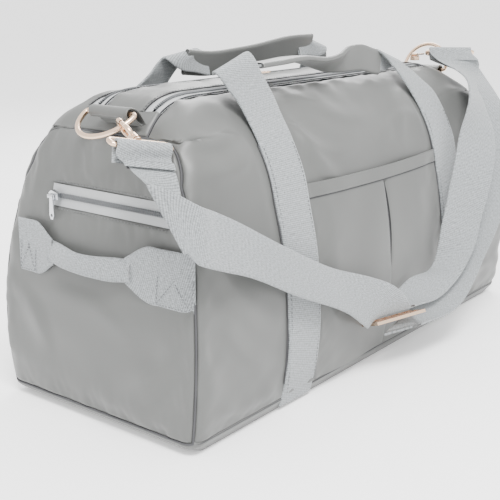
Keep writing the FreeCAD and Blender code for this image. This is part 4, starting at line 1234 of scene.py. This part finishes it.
def make_strap_left():
    """The strap's left end: its turn over the eye, the hemmed flap sewn back, and the long run."""
    e = unit(LEFT_ACROSS)
    back = unit(np.cross([0, 0, 1], e))
    down = -np.cross(e, back)
    lay = back * 1.4
    first, level = np.array(LEFT_RUN[0][0], dtype=float), LEFT_RUN[0][1]
    front = unit([-0.6, -0.75, 0.15])
    fall = unit(first - LEFT_BAR)
    end = first + front * 2.4
    turn = [(end, level, front, 0.82), (LEFT_BAR - lay * 1.8 + down * 6, e, -back)]
    turn += eye_turn(LEFT_BAR, e) + [(LEFT_BAR + lay + down * 11, e, back)]
    wrap = ribbon(turn, WEBBING_WIDTH, WEBBING_THICKNESS, step=1.2, ripple=0.1, seed=101)
    trim("strap_left_turn", wrap, "webbing", "left_eye")
    under = [(end + fall * step - front * 1.1, level, front, 0.81) for step in (1.2, 2.2, 3.2)]
    shade = build_mesh("strap_flap_shade", *ribbon(under, WEBBING_WIDTH - 0.5, 0.6, step=0.7, ripple=0.0))
    finish(shade, "board")
    hang_left(shade)
    run = [(LEFT_BAR + lay * 1.3 + down * 9, e, back)] + LEFT_RUN
    hem = [(end + fall * step + front * 0.8, level, front, 0.83) for step in (-3.0, -1.5, 0, 1.4)]
    parts = [ribbon(run, WEBBING_WIDTH, WEBBING_THICKNESS, ripple=0.3, seed=101),
             ribbon(hem, WEBBING_WIDTH + 0.6, 3.2, step=0.8, ripple=0.1, seed=102)]
    piece = build_mesh("strap_long_webbing", *join(parts))
    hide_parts("strap_long")
    finish(piece, "webbing")
    hang_left(piece)


def make_strap_loop():
    """The doubled run to the right: its turn over the eye, and the inner and outer lengths."""
    e = unit(RIGHT_ACROSS)
    turn = eye_turn(RIGHT_BAR, e)
    last, _, normal = turn[0]
    fall = unit(INNER_RUN[-1][0] - last)
    wrap = ribbon([(last + fall * 11, e, normal)] + turn + [OUTER_RUN[-1]], WEBBING_WIDTH,
                  WEBBING_THICKNESS, step=1.2, ripple=0.1, seed=103)
    trim("strap_right_turn", wrap, "webbing", "right_eye")
    inner = INNER_RUN + [(last + fall * 9 - normal * 0.4, e, normal)]
    parts = [ribbon(run, WEBBING_WIDTH, WEBBING_THICKNESS, ripple=0.3, seed=seed)
             for run, seed in ((inner, 104), (OUTER_RUN[::-1], 105))]
    piece = build_mesh("strap_loop_webbing", *join(parts))
    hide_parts("strap_loop")
    finish(piece, "webbing")
    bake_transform(piece)


def make_ring_tab(label, side):
    """The nylon loop that holds a D-ring: rolled round its bar, both layers sewn into the end seam."""
    low, high = node_box(label + "_ring_tab")
    reach = 3.75
    middle, along = (low[1] + high[1]) / 2, (0, 1, 0)
    bar = np.array([side * (max(abs(low[0]), abs(high[0])) - reach), middle, high[2] - reach])
    foot = abs(bar[0]) - 13.0
    ground = float(top_at(foot))
    rows = [((side * foot, middle, ground + 1.2), along, (side * 0.3, 0, 1)),
            (bar + [-side * 6, 0, 2.1], along, (-side * 0.1, 0, 1))]
    for angle in (80, 45, 10, -25, -60, -95, -125):
        turn = math.radians(angle)
        out = np.array([side * math.cos(turn), 0, math.sin(turn)])
        rows.append((bar + out * reach, along, out))
    rows.append(((side * (foot + 3), middle, ground - 0.4), along, (0, 0, -1)))
    loop = ribbon(rows, float(high[1] - low[1]), 1.3, step=0.9, ripple=0.3, seed=121)
    settle(build_mesh(label + "_ring_loop", *loop), [label + "_ring_tab"], "nylon", "bag")


# ---- topstitching ----------------------------------------------------------------------------------
def leg_stitches(inset):
    """Rows up both edges of each leg."""
    rows = []
    for sign in (-1, 1):
        for x in (-LEG_X, LEG_X):
            for side in (-inset, inset):
                places = [(x + side, sign * depth_at(z), z) for z in np.linspace(14, HINGE_Z - 10, 24)]
                rows.append(stitched_on_body(places, 2.35))
    return rows


def patch_stitches(inset):
    """A box and its two diagonals on each of the grab handle's patches."""
    rows = []
    foot, head = GRAB_Z - inset, GRAB_Z + inset
    for y0, y1 in ((PATCH_LOW[1] + 3, GRIP_LOW[1] - 24), (GRIP_HIGH[1] + 18, PATCH_HIGH[1] - 3)):
        a, b, c, d = (y0, foot), (y1, foot), (y1, head), (y0, head)
        for start, end in ((a, b), (b, c), (c, d), (d, a), (a, c), (b, d)):
            places = [(-length_at(z), y, z) for y, z in np.linspace(start, end, 12)]
            rows.append(stitched_on_body(places, 2.4, pitch=2.6, length=1.9))
    return rows


def zip_stitches():
    """A row on the cloth to either side of every zip."""
    rows = []
    for _, sign in WALLS:
        for side in (-1, 1):
            y = sign * (ZIP_Y + side * (TAPE_HALF + 1.8))
            rows.append(stitched_on_body([(x, y, TOP) for x in np.linspace(-ZIP_END, ZIP_END, 60)], 0.35))
    for label, side in ENDS:
        zip_z, reach = end_zip(label)
        for z in (zip_z - TAPE_HALF - 2.0, zip_z + TAPE_HALF + 2.0):
            rows.append(stitched_on_body([(side * length_at(z), y, z) for y in np.linspace(*reach, 30)], 0.3))
    return rows


def make_stitching():
    """Thread along the zips, on the legs and on the patches."""
    inset = WEBBING_WIDTH / 2 - 2.5
    trim("topstitch_on_cloth", join(zip_stitches()), "zip_coil")
    trim("topstitch_on_webbing", join(leg_stitches(inset) + patch_stitches(inset)), "zip_coil")


# ---- seams: painted shadow in their grooves ---------------------------------------------------------
def seam_shadow_strand(places, depth=0.75, radius=0.75, spokes=6):
    """A dark strand at the bottom of a seam: painted shadow in its groove."""
    line = along_line(lowered(places), np.linspace(0, 1, max(len(places) * 6, 60)))
    p, out = onto_body(line)
    p = p - out * depth
    side = unit(np.cross(out, unit(np.gradient(p, axis=0))))
    turns = np.arange(spokes) * 2 * math.pi / spokes
    points = np.array([p + side * math.cos(t) * radius + out * math.sin(t) * radius for t in turns])
    points = points.transpose(1, 0, 2).reshape(-1, 3)
    return points, flipped(grid_faces(len(p), spokes, loop=True)), np.zeros((len(points), 2))


def make_leg_edge_shadows():
    """Dark strips a little wider than each sewn leg: painted shadow along both of its edges."""
    strips = []
    for sign in (-1, 1):
        for x in (-LEG_X, LEG_X):
            rows = leg_stations(x, sign, WRAP_Z + 13, HINGE_Z - 8, 26, 0.75)
            strips.append(ribbon(rows, WEBBING_WIDTH + 1.3, 0.5, ripple=0.12, seed=61))
    trim("leg_edge_painted_shadow", join(strips), "board")


def make_seam_shadows():
    """Painted shadow in the seams: dark strands round both ends, beside the zips and along the base."""
    strands = []
    rise = END_CORNER * (1 - np.sin(np.linspace(0, math.pi / 2, 16)[1:]))
    heights = np.concatenate([np.linspace(WRAP_Z, END_TOP_Z - END_CORNER, 40), END_TOP_Z - rise])
    for side in (-1, 1):
        outline = [(side * length_at(z), min(float(end_half(z)), depth_at(z)), z) for z in heights]
        mirrored = [(x, -y, z) for x, y, z in outline]
        strands.append(seam_shadow_strand(outline + mirrored[::-1]))
        xs = np.linspace(length_at(END_TOP_Z), ZIP_END, 12)
        for y in (-SEAM_Y, SEAM_Y):
            strands.append(seam_shadow_strand([(side * x, y, top_at(x)) for x in xs]))
    for y in [sign * ZIP_Y + edge for sign in (-1, 1) for edge in (-TAPE_HALF, TAPE_HALF)]:
        strand = seam_shadow_strand([(x, y, TOP) for x in np.linspace(-ZIP_END, ZIP_END, 60)], 0.1, 0.5)
        strands += [strand, strand]   # laid double, which darkens the edge of the tape
    ring = [(a * length_at(WRAP_Z), b * depth_at(WRAP_Z), WRAP_Z) for a, b in BASE_CORNERS]
    strands.append(seam_shadow_strand(along_line(ring, np.linspace(0, 1, 121))))
    trim("seam_painted_shadow", join(strands), "board")


# ---- light, floor and camera ----------------------------------------------------------------------
def make_floor():
    """A white floor that reaches the horizon."""
    reach = 30.0
    corners = [(-reach, -reach, 0), (reach, -reach, 0), (reach, reach, 0), (-reach, reach, 0)]
    mesh = bpy.data.meshes.new("floor")
    mesh.from_pydata(corners, [], [(0, 1, 2, 3)])
    floor = bpy.data.objects.new("floor", mesh)
    bpy.context.scene.collection.objects.link(floor)
    paint, _, shader = new_material("floor_white")
    set_inputs(shader, {
        "Base Color": (0.92, 0.92, 0.92, 1), "Roughness": 0.9, "Specular IOR Level": 0.1,
        "Emission Color": (1, 1, 1, 1), "Emission Strength": 0.35})
    mesh.materials.append(paint)


def add_light(name, place, aim, size, power):
    """A white panel of light that looks at a place."""
    data = bpy.data.lights.new(name, "AREA")
    data.shape = "RECTANGLE"
    data.size, data.size_y = size
    data.energy = power
    light = bpy.data.objects.new(name, data)
    light.location = place
    light.rotation_euler = (Vector(aim) - Vector(place)).to_track_quat("-Z", "Y").to_euler()
    bpy.context.scene.collection.objects.link(light)


def make_light():
    """A bright white room, a soft key from the front left and a rim from behind."""
    world = bpy.data.worlds.new("studio")
    bpy.context.scene.world = world
    world.use_nodes = True
    set_inputs(world.node_tree.nodes["Background"], {"Color": (1.0, 1.0, 1.0, 1), "Strength": 2.1})
    add_light("key", (-0.6, -0.65, 1.35), (0, 0, 0.12), (0.6, 0.45), 46)
    add_light("rim", (0.9, 0.5, 0.9), (0, 0, 0.15), (0.8, 0.6), 16)


def make_camera():
    data = bpy.data.cameras.new("camera")
    data.lens = 68.61
    data.sensor_width = 36.0
    camera = bpy.data.objects.new("camera", data)
    camera.location = (-0.63149, -0.45618, 0.29187)
    camera.rotation_euler = (math.radians(74.401), 0.0, math.radians(-51.772))
    bpy.context.scene.collection.objects.link(camera)
    bpy.context.scene.camera = camera


# ---- put the bag together -------------------------------------------------------------------------
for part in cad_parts.values():
    for slot in part.material_slots:
        if slot.material:
            slot.material = FINISHES.get(slot.material.name.split(".")[0], slot.material)
for label, sign in WALLS:
    make_wall(label + "_cloth", sign, label + "_panel")
make_top_strip()
make_base()
for label, sign in WALLS:
    make_zip(label, np.array([0, sign * ZIP_Y, TOP]), (-ZIP_END, ZIP_END), (1, 0, 0), (0, 1, 0))
for label, side in ENDS:
    zip_z, reach = end_zip(label)
    make_end(label, side, zip_z, reach)
    make_zip(label, np.array([side * length_at(zip_z), 0, zip_z]), reach, (0, 1, 0), (0, 0, 1))
make_pocket_halves()
make_pocket_hem()
make_pocket_pleat_shade()
for label, sign in WALLS:
    make_carry_handle(label, sign)
    make_grip(label)
make_grab_patches()
make_grab_grip()
make_strap_left()
make_strap_loop()
for label, side in ENDS:
    make_ring_tab(label, side)
make_stitching()
make_seam_shadows()
make_leg_edge_shadows()
make_floor()
make_light()
make_camera()
